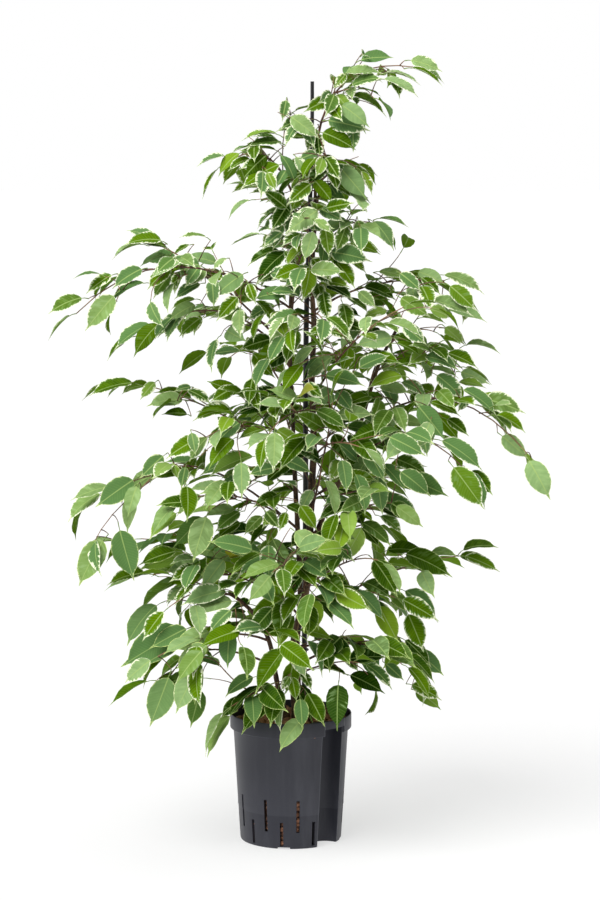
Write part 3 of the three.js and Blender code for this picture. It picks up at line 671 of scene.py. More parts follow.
def blade_stamp(stations: Sequence[float]) -> Stamp:
    """The leaf blade laid flat: x runs from -1 to 1 between its margins, y from base to tip, z is the side.

    Args:
        stations: shares of the length where the outline has its corners.

    Returns:
        A closed thin shell: four strips on top, two below, joined along the margin.
    """
    bm = bmesh.new()
    for strips, side in ((4, 1), (2, -1)):
        made = bmesh.ops.create_grid(bm, x_segments=strips, y_segments=len(stations) - 1, size=1)["verts"]
        for point in made:
            row = round((point.co.y + 1) / 2 * (len(stations) - 1))
            at_end = row in (0, len(stations) - 1)
            at_margin = abs(point.co.x) > 0.99
            point.co = (0 if at_end else point.co.x, stations[row], 0 if at_end or at_margin else side)
        if side < 0:
            faces = {face for point in made for face in point.link_faces}
            bmesh.ops.reverse_faces(bm, faces=list(faces))
    bmesh.ops.remove_doubles(bm, verts=bm.verts, dist=1e-4)
    for edge in bm.edges:
        heights = [face.calc_center_median().z for face in edge.link_faces]
        edge.smooth = not (len(heights) == 2 and heights[0] * heights[1] < 0)
    return Stamp("blade_stamp", bm)


def reed_stamp(sides: int, steps: int) -> Stamp:
    """A round reed of radius 1 that stands from z = 0 to 1, with a ring at each step.

    Args:
        sides: how many sides it has.
        steps: how many lengths it has.

    Returns:
        The reed.
    """
    bm = bmesh.new()
    bmesh.ops.create_cone(bm, cap_ends=True, segments=sides, radius1=1, radius2=1, depth=1)
    bmesh.ops.translate(bm, verts=bm.verts, vec=(0, 0, 0.5))
    for step in range(1, steps):
        everything = bm.verts[:] + bm.edges[:] + bm.faces[:]
        bmesh.ops.bisect_plane(bm, geom=everything, plane_co=(0, 0, step / steps), plane_no=(0, 0, 1))
    for edge in bm.edges:
        edge.smooth = all(abs(face.normal.z) < 0.5 for face in edge.link_faces)
    return Stamp(f"reed_{sides}_{steps}", bm)


@dataclass
class Route:
    """A path through space with a thickness, and a steady cross frame at each of its points."""

    points: list[Vector]
    radii: list[float]
    frames: list[tuple[Vector, Vector]] = field(init=False)

    def __post_init__(self) -> None:
        """Carries the cross frame along the path without twist."""
        last = len(self.points) - 1
        tangents = [
            (self.points[min(i + 1, last)] - self.points[max(i - 1, 0)]).normalized() for i in range(last + 1)
        ]
        side = tangents[0].orthogonal().normalized()
        self.frames = []
        for tangent in tangents:
            side = (side - tangent * side.dot(tangent)).normalized()
            self.frames.append((side, tangent.cross(side)))

    def spot(self, place: Vector) -> Vector:
        """Where a point of a reed stamp comes to lie.

        Args:
            place: the point in the reed.

        Returns:
            Its place, in millimetres.
        """
        i = round(place.z * (len(self.points) - 1))
        side, other = self.frames[i]
        return self.points[i] + (side * place.x + other * place.y) * self.radii[i]


# The photograph's view


@dataclass(frozen=True)
class FrontView:
    """The photograph's frame in pixels, and where its camera stands in millimetres and degrees."""

    width: int = 600
    height: int = 900
    lens: float = 118.0
    sensor: float = 36.0
    distance: float = 4300
    eye_height: float = 1096
    aside: float = 13.7
    pitch: float = 6.83

    def place(self, x: float, y: float, depth: float, aside: float) -> Vector:
        """The place that a pixel shows on an upright plane across the view, to the nearest millimetre.

        Args:
            x: the pixel's column.
            y: the pixel's row, from the top.
            depth: how far the plane lies behind the pot's axis.
            aside: how far the eye stands to the right of the pot's axis.

        Returns:
            The place.
        """
        focal, tilt = self.lens / self.sensor * self.height, math.radians(self.pitch)
        right, up = (x - self.width / 2) / focal, (self.height / 2 - y) / focal
        reach = (self.distance + depth) / (math.cos(tilt) + up * math.sin(tilt))
        rise = up * math.cos(tilt) - math.sin(tilt)
        return Vector((round(aside + right * reach), depth, round(self.eye_height + rise * reach)))


VIEW = FrontView()


# How the plant grows: the same rules as in the part's source


@dataclass(frozen=True)
class Stem:
    """A stem: points up its middle, with its thickness at foot and top."""

    radii: tuple[float, float]
    route: tuple[Point, ...]

    def point_at(self, height: float) -> Vector:
        """The middle of the stem at a height.

        Args:
            height: the height above the floor.

        Returns:
            The point.
        """
        for i in range(1, len(self.route)):
            low, high = Vector(self.route[i - 1]), Vector(self.route[i])
            if height <= high.z or i == len(self.route) - 1:
                return low.lerp(high, (height - low.z) / (high.z - low.z))
        return Vector(self.route[0])

    def radius_at(self, height: float) -> float:
        """The stem's thickness at a height."""
        share = (height - self.route[0][2]) / (self.route[-1][2] - self.route[0][2])
        return lerp(*self.radii, clamp(share))


STEMS = {
    "main": Stem((7.5, 1.9), (
        (10, 0, 118), (8, 0, 190), (5, 0, 285), (15, -8, 340), (25, -10, 395), (30, -8, 510), (34, -6, 595),
        (31, -6, 685), (34, -6, 760), (31, -6, 830), (35, -6, 905), (36, -6, 960), (39, -6, 1040))),
    "rear": Stem((5, 1.8), (
        (12, 30, 120), (12, 30, 190), (9, 30, 280), (14, 28, 355), (12, 27, 425), (7, 26, 520), (3, 24, 625),
        (-1, 22, 720), (0, 18, 800), (5, 15, 875), (8, 12, 950))),
    "left": Stem((4.8, 2.4), (
        (-6, -4, 122), (-10, -5, 190), (-20, -10, 235), (-32, -18, 300), (-56, -32, 345), (-90, -45, 378))),
    "bough": Stem((4.2, 2.2), (
        (28, -9, 430), (55, 0, 500), (80, 10, 550), (105, 20, 625), (130, 25, 705), (158, 30, 760))),
}

# Branches that the front shows: stem, height where the branch leaves it, a point on the way, its end,
# and the ends of its side twigs
FRONT_BRANCHES = [
    ("rear", 940, (-35, -20, 1010), (-98, -30, 998),
     [(0, -35, 1070), (-50, -60, 1025), (-40, -90, 995), (-75, 30, 995)]),
    ("rear", 725, (-100, -40, 825), (-184, -60, 882), [(-112, 20, 868), (-160, -110, 838), (-155, 15, 848)]),
    ("main", 765, (-150, -105, 856), (-302, -140, 792),
     [(-195, -175, 815), (-252, -85, 795), (-95, -150, 850), (-70, -105, 800)]),
    ("rear", 700, (-100, 5, 784), (-226, 10, 748), [(-100, -60, 755), (-160, 70, 770), (-55, -70, 700)]),
    ("rear", 550, (-110, 35, 634), (-248, 40, 680), [(-165, -20, 655), (-160, 95, 655)]),
    ("main", 590, (-55, -80, 625), (-120, -130, 615), [(-130, -65, 580), (-70, -160, 590), (-70, -60, 665)]),
    ("rear", 460, (-125, -50, 560), (-215, -85, 536),
     [(-285, -95, 455), (-150, -130, 550), (-285, -50, 515)]),
    ("main", 450, (-60, -90, 520), (-150, -130, 525), [(-85, -155, 555), (-125, -85, 490)]),
    ("rear", 375, (-80, 50, 420), (-222, 35, 444), [(-150, 110, 450), (-95, 0, 460), (-180, -20, 458)]),
    ("main", 335, (-80, -40, 400), (-200, -55, 405), [(-130, -110, 430), (-145, 15, 375)]),
    ("left", 352, (-115, -75, 385), (-175, -100, 365), [(-155, 0, 345), (-140, -125, 375)]),
    ("left", 300, (-105, -105, 325), (-190, -140, 300), [(-125, -170, 305), (-160, -75, 315)]),
    ("left", 262, (-120, -35, 290), (-175, -45, 255), [(-130, -85, 250)]),
    ("main", 300, (-50, -120, 340), (-118, -185, 322), [(-70, -205, 330), (-20, -190, 330)]),
    ("left", 215, (-62, -62, 235), (-105, -85, 280), []),
    ("left", 228, (-45, -90, 240), (-85, -130, 225), [(-40, -135, 255)]),
    ("main", 225, (0, -70, 250), (-15, -120, 255), [(20, -125, 250)]),
    ("main", 440, (20, -95, 400), (5, -120, 300), [(15, -130, 435), (45, -140, 380)]),
    ("main", 1036, (85, -10, 1122), (180, -20, 1138),
     [(62, 35, 1124), (105, -50, 1150), (140, -65, 1128), (118, -85, 1094),
      (88, -50, 1060), (142, 45, 1136), (62, -60, 1100)]),
    ("main", 985, (65, -35, 1005), (95, -55, 995), [(45, -85, 1012)]),
    ("main", 880, (80, -25, 912), (122, -35, 914), [(100, -80, 912)]),
    ("main", 785, (120, 20, 822), (225, 30, 828), [(160, 0, 870), (185, -50, 826), (245, 85, 800)]),
    ("main", 655, (85, -120, 745), (160, -130, 800), [(200, -150, 800), (110, -170, 790)]),
    ("bough", 735, (178, 60, 752), (212, 70, 750), [(200, 105, 785)]),
    ("bough", 708, (190, -20, 718), (245, -30, 706), [(240, 20, 680), (215, -65, 745)]),
    ("bough", 605, (222, -60, 662), (345, -105, 582), [(285, -95, 648), (278, -50, 662), (200, -130, 640)]),
    ("bough", 555, (165, -80, 610), (245, -125, 572), [(218, -85, 596), (160, -150, 620)]),
    ("bough", 512, (110, 40, 518), (160, 65, 528), [(145, 115, 535)]),
    ("main", 455, (90, -60, 500), (145, -90, 515), [(120, -145, 540), (75, -120, 490)]),
    ("rear", 405, (85, 50, 455), (135, 60, 460), [(120, 115, 440)]),
    ("main", 378, (80, -100, 430), (125, -145, 440), [(75, -170, 460), (35, -160, 400)]),
    ("rear", 320, (140, 35, 390), (248, 35, 418), [(165, 75, 420), (190, -30, 410)]),
    ("main", 330, (90, -40, 373), (152, -60, 372), [(140, 5, 365)]),
    ("main", 285, (98, -80, 308), (160, -120, 285), [(115, -135, 320)]),
    ("rear", 255, (122, 45, 288), (192, 60, 245), [(162, 100, 262)]),
    ("main", 245, (60, -60, 275), (100, -85, 280), [(70, -120, 262), (120, -50, 242)]),
    ("main", 480, (50, -70, 590), (60, -125, 665), [(45, -125, 725), (90, -105, 705)]),
    ("main", 620, (15, -90, 640), (0, -160, 665), [(-30, -175, 625)]),
    ("main", 752, (35, -80, 785), (45, -145, 785), [(-5, -130, 765)]),
    ("main", 870, (25, -60, 905), (20, -110, 925), [(5, -80, 970)]),
    ("main", 400, (0, -115, 430), (-25, -190, 430), [(-45, -150, 450)]),
    ("main", 565, (65, -115, 610), (90, -190, 600), [(80, -215, 640), (130, -190, 625)]),
]

# Branches at the back: stem, height, compass direction (0 is right, 90 is straight back), reach, rise
BACK_BRANCHES = [
    ("main", 915, 74, 105, 75),
    ("rear", 865, 104, 110, 70),
    ("rear", 760, 82, 205, 95),
    ("rear", 640, 118, 205, 70),
    ("bough", 640, 78, 190, 60),
    ("rear", 575, 96, 250, 40),
    ("rear", 480, 66, 245, 30),
    ("rear", 340, 112, 210, 40),
]


# Open air between the tiers, as the front shows it on the plane of the pot's axis: left, right, low, high.
# The last three windows stand only here: bare granules at the right of the rim, and bare stems.
OPEN_AIR = [
    (-145, 15, 1090, 1180), (-66, -25, 1073, 1098), (120, 275, 925, 1090), (-195, -20, 1045, 1075),
    (-200, -130, 1005, 1060), (-99, -76, 1029, 1051), (98, 123, 998, 1034), (51, 83, 1008, 1025),
    (-230, -100, 960, 1000), (-134, -101, 947, 987), (-335, -60, 905, 955), (-95, -55, 855, 955),
    (-95, -50, 912, 953), (170, 275, 855, 925), (-85, -46, 880, 909), (156, 186, 874, 906),
    (-295, -200, 860, 885), (315, 410, 665, 830), (-245, -170, 780, 815), (-252, -182, 784, 801),
    (-359, -304, 736, 778), (-135, -100, 752, 769), (204, 223, 740, 769), (263, 306, 738, 763),
    (-173, -134, 719, 743), (260, 315, 700, 725), (-173, -65, 689, 719), (-335, -125, 685, 715),
    (-101, -68, 643, 659), (-335, -205, 585, 650), (254, 281, 611, 643), (-145, -112, 611, 628),
    (-205, -145, 580, 625), (258, 312, 550, 610), (-275, -222, 562, 588), (-192, -145, 574, 585),
    (205, 245, 540, 585), (290, 338, 505, 565), (-204, -163, 513, 537), (-215, -160, 515, 535),
    (168, 227, 489, 507), (185, 275, 440, 495), (-235, -205, 465, 492), (-340, -300, 455, 490),
    (-304, -263, 450, 489), (-248, -207, 462, 477), (-340, -299, 440, 471), (154, 191, 443, 465),
    (80, 120, 380, 428), (164, 212, 373, 397), (165, 295, 375, 395), (-225, -185, 355, 390),
    (230, 415, 290, 380), (-355, -255, 270, 360), (-208, -167, 319, 346), (67, 117, 304, 340),
    (-155, -125, 316, 334), (220, 265, 215, 310), (-81, -49, 250, 298), (-105, -45, 232, 275),
    (-130, -87, 208, 262), (120, 170, 205, 262), (-125, -100, 200, 255), (129, 155, 220, 247),
    (29, 88, 212, 238), (107, 132, 183, 220), (-157, -124, 162, 202), (-165, -130, 140, 185),
    (18, 88, 174, 232), (-7, 31, 232, 298), (14, 40, 489, 554),
]
EYE = Vector((15, -4300, 1096))  # where the front view is seen from

# Where the sprigs end that fill the dense middle, read one by one: pixel, and how far behind the pot's axis
FRONT_SPRIGS = [
    (345, 112, -40), (362, 124, -30), (330, 104, -60), (300, 122, -50), (318, 132, -40), (352, 92, -20),
    (374, 106, -45), (290, 112, -30), (330, 168, -60), (346, 188, -40), (318, 158, -70), (300, 175, -50),
    (290, 200, -60), (322, 210, -80), (345, 222, -60), (302, 235, -80), (330, 250, -60), (285, 222, -40),
    (308, 262, -80), (278, 272, -60), (262, 286, -40), (250, 300, -60), (292, 296, -90), (322, 288, -70),
    (340, 300, -50), (268, 312, -80), (240, 284, -30), (300, 326, -90), (282, 340, -60), (318, 346, -100),
    (272, 356, -80), (296, 366, -110), (334, 360, -80), (352, 346, -60), (366, 330, -40), (300, 398, -120),
    (282, 410, -90), (320, 412, -110), (340, 396, -80), (262, 392, -50), (310, 436, -130), (290, 450, -110),
    (332, 446, -90), (372, 398, -60), (392, 408, -80), (412, 402, -50), (384, 428, -100), (405, 436, -70),
    (428, 420, -40), (360, 440, -100), (350, 468, -120), (376, 470, -80), (318, 486, -140),
    (296, 500, -120), (274, 486, -90), (340, 510, -130), (362, 522, -100), (318, 536, -150),
    (292, 552, -120), (268, 540, -100), (340, 560, -120), (330, 590, -140), (352, 596, -110),
    (305, 600, -150), (282, 606, -130), (262, 622, -110), (200, 560, -80), (182, 552, -60), (222, 548, -70),
    (300, 636, -140), (330, 640, -110),
]

# Leaves that stand out in the photograph, read from it: the pixel of the blade's base, the pixel of
# its tip, how far it lies behind the pot's axis, and how far its face turns from the front to the sky
FRONT_LEAVES = [
    (285, 649, 255, 694, -150, 52), (294, 616, 277, 650, -140, 50), (253, 677, 225, 697, -110, 50),
    (243, 698, 220, 718, -100, 30), (230, 716, 207, 757, -110, 64), (275, 696, 241, 736, -135, 46),
    (284, 694, 281, 732, -118, 55), (300, 697, 302, 727, -138, 5), (302, 720, 279, 751, -142, 35),
    (292, 677, 297, 701, -135, 5), (290, 676, 281, 690, -140, 10), (301, 673, 312, 690, -120, 30),
    (318, 668, 350, 676, -60, 80), (350, 675, 386, 693, -60, 40), (364, 643, 375, 680, -30, 10),
    (344, 652, 359, 672, -50, 20), (324, 638, 330, 672, -90, 10), (334, 638, 351, 661, -80, 20),
    (157, 605, 127, 646, -40, 45), (183, 629, 121, 665, -60, 20), (163, 654, 133, 679, -70, 45),
    (147, 681, 108, 706, -90, 80), (168, 678, 150, 726, -120, 0), (198, 668, 176, 713, -130, 15),
    (199, 664, 195, 704, -105, 30), (209, 632, 172, 651, -130, 30), (191, 650, 182, 680, -90, 30),
    (231, 610, 209, 633, -150, 30), (230, 631, 228, 668, -165, 10), (207, 645, 196, 660, -120, 10),
    (133, 480, 95, 507, -95, 12), (100, 494, 68, 522, -50, 50), (137, 486, 128, 517, -112, 10),
    (120, 530, 135, 581, -75, 0), (103, 541, 79, 586, -98, 15), (113, 541, 81, 552, -60, 85),
    (176, 513, 149, 540, -110, 45), (206, 517, 193, 562, -135, 5), (150, 574, 104, 591, 0, 80),
    (180, 580, 139, 611, -20, 70), (185, 554, 138, 570, 35, 35), (180, 588, 166, 603, -30, 20),
    (190, 502, 156, 504, -125, 50), (163, 456, 140, 478, -88, 15), (169, 465, 149, 485, -80, 70),
    (174, 464, 179, 478, -100, 20), (186, 466, 182, 488, -105, 10), (192, 432, 196, 454, -135, 10),
    (190, 443, 175, 441, -130, 40), (133, 382, 88, 396, 30, 65), (137, 384, 121, 395, 28, 50),
    (155, 382, 140, 400, 10, 25), (182, 400, 146, 407, -25, 40), (187, 414, 161, 414, -20, 55),
    (231, 411, 192, 421, -40, 55), (188, 390, 212, 405, -60, 50), (162, 240, 124, 245, -62, 55),
    (142, 244, 112, 260, -85, 82), (165, 255, 140, 267, -70, 60), (142, 269, 112, 289, -130, 30),
    (170, 268, 147, 290, -120, 25), (112, 275, 86, 294, -135, 45), (100, 274, 72, 279, -145, 82),
    (82, 298, 48, 314, -142, 45), (114, 296, 85, 331, -155, 12), (144, 283, 110, 303, -105, 70),
    (170, 275, 153, 299, -110, 30), (180, 272, 175, 294, -95, 45), (206, 237, 178, 238, -60, 75),
    (190, 245, 172, 257, -40, 65), (200, 266, 185, 288, -80, 20), (150, 324, 114, 350, 12, 60),
    (160, 323, 134, 357, 0, 40), (195, 305, 168, 321, -40, 35), (195, 299, 170, 310, -15, 65),
    (200, 318, 179, 337, -30, 20), (225, 156, 196, 167, -30, 70), (239, 153, 218, 177, -32, 50),
    (250, 159, 228, 172, -48, 50), (277, 134, 240, 142, -62, 78), (280, 142, 246, 147, -50, 62),
    (276, 150, 240, 154, -40, 78), (279, 165, 239, 191, -92, 50), (266, 156, 244, 178, -72, 20),
    (286, 170, 276, 188, -82, 20), (268, 172, 276, 191, -102, 5), (284, 193, 265, 203, -60, 20),
    (275, 211, 257, 230, -60, 80), (282, 232, 262, 248, -55, 30), (286, 100, 282, 122, -40, 0),
    (291, 117, 320, 139, -62, 10), (328, 121, 371, 131, -62, 15), (342, 105, 370, 128, -75, 15),
    (323, 133, 356, 150, -70, 25), (350, 95, 387, 118, -55, 70), (384, 79, 418, 98, -72, 62),
    (411, 68, 442, 87, -30, 75), (411, 60, 443, 72, -20, 35), (361, 60, 394, 58, -52, 40),
    (345, 73, 385, 74, -66, 65), (385, 73, 421, 86, -60, 80), (352, 85, 384, 79, -75, 50),
    (346, 74, 334, 89, -60, 10), (418, 272, 446, 285, -12, 35), (443, 274, 484, 294, 30, 62),
    (421, 278, 441, 296, -35, 40), (450, 286, 476, 311, -50, 20), (430, 300, 475, 317, -52, 60),
    (401, 298, 431, 317, -85, 5), (431, 306, 456, 321, -40, 60), (448, 310, 488, 323, 0, 62),
    (403, 325, 427, 345, -75, 10), (445, 327, 465, 345, 22, 8), (466, 345, 501, 354, 22, 75),
    (447, 353, 479, 369, -42, 50), (428, 345, 448, 357, -20, 20), (425, 357, 460, 371, -65, 50),
    (461, 372, 490, 384, 30, 25), (427, 369, 459, 378, -30, 75), (437, 375, 464, 400, -62, 25),
    (459, 382, 487, 388, 12, 60), (400, 273, 421, 291, -65, 20), (484, 399, 526, 413, -62, 30),
    (497, 415, 526, 433, -88, 50), (463, 390, 497, 417, -82, 58), (503, 437, 529, 460, -102, 10),
    (529, 461, 550, 500, -195, 5), (468, 398, 457, 412, -70, 10), (430, 402, 461, 417, -92, 60),
    (419, 407, 445, 440, -115, 10), (447, 419, 469, 436, -85, 40), (442, 441, 483, 471, -122, 50),
    (453, 466, 484, 508, -128, 5), (471, 471, 493, 495, -112, 25), (401, 472, 431, 497, -105, 20),
    (406, 478, 449, 496, -92, 30), (396, 460, 429, 477, -80, 40), (422, 433, 427, 457, -122, 10),
    (411, 434, 400, 452, -112, 10), (392, 503, 417, 521, -85, 5), (388, 549, 428, 553, 22, 60),
    (431, 553, 458, 556, 35, 60), (406, 554, 453, 577, -22, 40), (412, 567, 448, 576, 20, 60),
    (460, 556, 490, 566, 45, 50), (463, 550, 499, 547, 30, 65), (405, 591, 438, 622, -20, 50),
    (374, 560, 398, 597, -92, 20), (379, 607, 398, 642, -65, 5), (391, 592, 410, 612, -50, 15),
    (408, 614, 424, 652, -42, 10), (416, 652, 444, 675, 20, 25), (402, 651, 427, 673, 32, 30),
    (382, 649, 408, 645, 20, 60), (386, 664, 404, 680, 30, 20), (411, 680, 441, 695, 50, 40),
    (416, 691, 441, 709, 60, 30), (275, 510, 262, 528, -110, 20), (300, 506, 318, 531, -120, 10),
    (262, 516, 244, 535, -100, 30), (312, 490, 300, 512, -100, 20), (286, 512, 279, 531, -130, 5),
    (277, 528, 266, 545, -80, 30), (330, 540, 355, 562, -120, 10), (295, 532, 325, 556, -150, 10),
    (243, 273, 214, 297, -60, 20), (212, 280, 214, 308, -90, 5), (226, 258, 213, 271, -70, 50),
    (243, 283, 220, 294, -75, 55), (248, 284, 256, 304, -95, 0), (279, 250, 247, 267, -20, 62),
    (286, 252, 255, 287, -50, 50), (286, 273, 256, 284, -30, 45), (309, 267, 283, 288, -80, 15),
    (272, 292, 298, 294, -92, 50), (285, 251, 296, 270, -62, 40), (313, 232, 304, 262, -115, 5),
    (284, 236, 262, 250, -40, 45), (280, 245, 298, 251, -40, 50), (248, 318, 210, 316, -60, 45),
    (240, 422, 211, 449, -100, 45), (266, 429, 236, 440, -85, 60), (277, 430, 303, 447, -120, 10),
    (272, 431, 300, 453, -98, 65), (275, 445, 264, 461, -70, 30), (276, 468, 247, 475, -122, 38),
    (291, 463, 264, 485, -80, 45), (285, 460, 313, 473, -110, 30), (253, 456, 207, 478, -100, 58),
    (240, 472, 221, 478, -80, 20), (252, 480, 213, 489, -92, 42), (232, 462, 199, 476, -78, 50),
    (278, 495, 252, 507, -90, 22), (286, 506, 313, 521, -112, 60), (266, 512, 280, 528, -124, 8),
    (240, 512, 215, 532, -92, 35), (235, 508, 204, 515, -80, 55), (252, 501, 236, 510, -70, 60),
    (240, 522, 216, 540, -70, 45), (331, 332, 355, 341, -90, 38), (331, 328, 306, 335, -112, 50),
    (392, 338, 353, 346, -60, 32), (394, 336, 415, 345, -40, 30), (366, 356, 403, 364, -70, 52),
    (325, 376, 366, 386, -112, 48), (402, 376, 366, 389, -80, 52), (402, 382, 428, 398, -50, 48),
    (395, 366, 425, 362, -60, 60), (396, 343, 421, 357, -70, 60), (305, 384, 325, 399, -126, 10),
    (380, 387, 411, 394, -60, 48), (306, 138, 283, 137, -40, 60), (318, 152, 297, 161, -62, 20),
    (296, 157, 306, 179, -80, 30), (316, 160, 342, 165, -50, 45), (318, 166, 355, 167, -70, 80),
    (340, 168, 367, 200, -62, 10), (315, 181, 333, 203, -80, 15), (333, 184, 357, 199, -42, 48),
    (311, 184, 286, 206, -92, 20), (331, 196, 353, 213, -62, 58), (301, 198, 281, 212, -60, 40),
    (318, 210, 284, 234, -102, 15), (320, 209, 345, 222, -80, 20), (314, 220, 332, 234, -112, 30),
    (325, 227, 329, 258, -102, 10), (358, 220, 365, 249, -60, 0), (373, 221, 394, 251, -40, 38),
    (379, 218, 410, 228, -40, 80), (341, 235, 364, 251, -60, 62), (330, 252, 373, 262, -72, 32),
    (311, 270, 346, 272, -102, 30), (336, 262, 355, 289, -70, 25), (379, 271, 410, 279, -30, 58),
    (334, 434, 347, 463, -62, 10), (346, 427, 381, 437, -80, 55), (342, 478, 379, 480, -90, 45),
    (352, 467, 380, 473, -60, 40), (322, 411, 346, 435, -112, 15), (380, 498, 421, 523, -60, 35),
    (378, 499, 406, 502, -48, 45), (380, 516, 403, 535, -70, 50), (362, 523, 392, 547, -90, 50),
    (362, 512, 373, 521, -100, 30), (206, 270, 184, 288, -72, 20), (200, 284, 174, 300, -62, 45),
    (182, 277, 175, 294, -30, 50), (364, 287, 397, 301, -20, 50), (359, 292, 377, 308, -72, 12),
    (387, 310, 361, 320, -50, 45), (386, 312, 406, 328, -40, 50), (360, 324, 391, 330, -62, 74),
    (234, 387, 210, 401, -62, 15), (253, 378, 249, 406, -80, 20), (191, 387, 174, 391, -30, 40),
    (232, 413, 195, 413, -30, 55), (270, 404, 235, 415, -62, 50), (224, 560, 201, 590, -92, 20),
    (200, 568, 184, 589, -62, 20), (226, 590, 180, 604, -100, 50), (240, 573, 228, 584, -60, 30),
    (194, 584, 175, 604, -72, 58), (232, 601, 190, 612, -120, 50),
]


def in_open_air(point: Vector) -> bool:
    """True if the front view shows open air at that point.

    Args:
        point: a place on the plant.

    Returns:
        Whether one of the windows covers it.
    """
    share = -EYE.y / (point.y - EYE.y)
    x, z = EYE.x + (point.x - EYE.x) * share, EYE.z + (point.z - EYE.z) * share
    return any(left < x < right and low < z < high for left, right, low, high in OPEN_AIR)


def cross_axes(tangent: Vector) -> tuple[Vector, Vector]:
    """The side and upward directions square to a tangent.

    Args:
        tangent: a direction of growth.

    Returns:
        The two directions.
    """
    side = tangent.cross(Vector((0, 0, 1)))
    if side.length < 0.15:
        side = Vector((1, 0, 0))
    side.normalize()
    return side, side.cross(tangent).normalized()


@dataclass
class Shoot:
    """A branch or twig: one smooth bend from its root over a control point to its end."""

    id: int
    root: Vector
    control: Vector
    end: Vector
    radii: tuple[float, float]
    bare: float
    segments: int

    SPACING = 27

    def bezier(self, t: float) -> Vector:
        """A point on the bend."""
        s = 1 - t
        return self.root * (s * s) + self.control * (2 * s * t) + self.end * (t * t)

    def run(self, t: float) -> Vector:
        """A point on the straight runs that the solid is made of.

        Args:
            t: the share of the way to its end.

        Returns:
            The point.
        """
        step = min(math.floor(t * self.segments), self.segments - 1)
        low, high = self.bezier(step / self.segments), self.bezier((step + 1) / self.segments)
        return low.lerp(high, t * self.segments - step)

    def tangent(self, t: float) -> Vector:
        """The direction of growth."""
        return ((self.control - self.root) * (1 - t) + (self.end - self.control) * t).normalized()

    def leaf_count(self) -> int:
        """How many side leaves it bears."""
        span = (self.root - self.end).length * (1 - self.bare)
        return max(1, math.floor(span / self.SPACING + 0.5))

    def slots(self) -> list[tuple["Shoot", int]]:
        """Its places for leaves, the end leaf first."""
        return [(self, slot) for slot in range(self.leaf_count(), -1, -1)]

    def last_ring(self) -> list[Vector]:
        """The corners of the solid's tube at its end.

        Returns:
            The three corners.
        """
        side, up = cross_axes((self.end - self.root).normalized())
        turns = [2 * math.pi * k / 3 - math.pi / 2 for k in range(3)]
        return [self.end + (side * math.cos(a) + up * math.sin(a)) * self.radii[1] for a in turns]


@dataclass
class BranchPlan:
    """Where a branch goes: its stem and height, a point on the way, its end and its twigs' ends."""

    stem: str
    height: float
    middle: Vector
    end: Vector
    twigs: Optional[list[Vector]]

    def shoot(self, id: int, attempt: int) -> Shoot:
        """The branch as a later try would bend it.

        Args:
            id: the branch's number.
            attempt: the try; the first bends nothing.

        Returns:
            The branch.
        """
        root = STEMS[self.stem].point_at(self.height)
        tip, through = self.end.copy(), self.middle.copy()
        if attempt > 0:
            through += jitter(0.07 * (root - tip).length, id, 50, attempt)
            tip += jitter(0.05 * (root - tip).length, id, 51, attempt)
        control = through * 2 - root * 0.5 - tip * 0.5
        return Shoot(id, root, control, tip, (2.9, 1.5), 0.34, 4)

    def twig_ends(self, id: int, branch: Shoot) -> list[Vector]:
        """The ends of the side twigs, worked out for a branch at the back.

        Args:
            id: the branch's number.
            branch: its main shoot.

        Returns:
            The ends.
        """
        if self.twigs is not None:
            return self.twigs
        span, ends = (branch.root - branch.end).length, []
        for k, t in enumerate((0.35, 0.55, 0.75)):
            tangent = branch.tangent(t)
            side, up = cross_axes(tangent)
            reach = span * between(0.3, 0.42, id, 60, k)
            hand = 0.75 if k % 2 == 0 else -0.75
            rise = between(-0.1, 0.25, id, 61, k)
            ends.append(branch.run(t) + tangent * (0.65 * reach) + side * (hand * reach)
                        + up * (rise * reach))
        return ends


def twig_shoot(id: int, branch: Shoot, tip: Vector, attempt: int) -> Shoot:
    """A twig that leaves its branch a little before the point nearest to its end.

    Args:
        id: the twig's number.
        branch: the shoot that it leaves.
        tip: where it should end.
        attempt: the try; the first moves nothing.

    Returns:
        The twig.
    """
    best, t = (math.inf, 0.0, branch.root), 0.25
    while t < 0.85:
        start = branch.run(t)
        towards = tip - start
        forward = towards.dot(branch.tangent(t)) / towards.length
        cost = towards.length * (1.5 - forward)
        if cost < best[0]:
            best = (cost, t, start)
        t += 0.05
    _, t, root = best
    span = (root - tip).length
    end = tip.copy()
    control = root.lerp(end, 0.5) + branch.tangent(t) * (0.2 * span)
    control.z += 0.1 * span
    if attempt > 0:
        control += jitter(0.12 * span, id, 52, attempt)
        end += jitter(0.08 * span, id, 53, attempt)
    return Shoot(id, root, control, end, (2, 1.5), 0.22, 2)


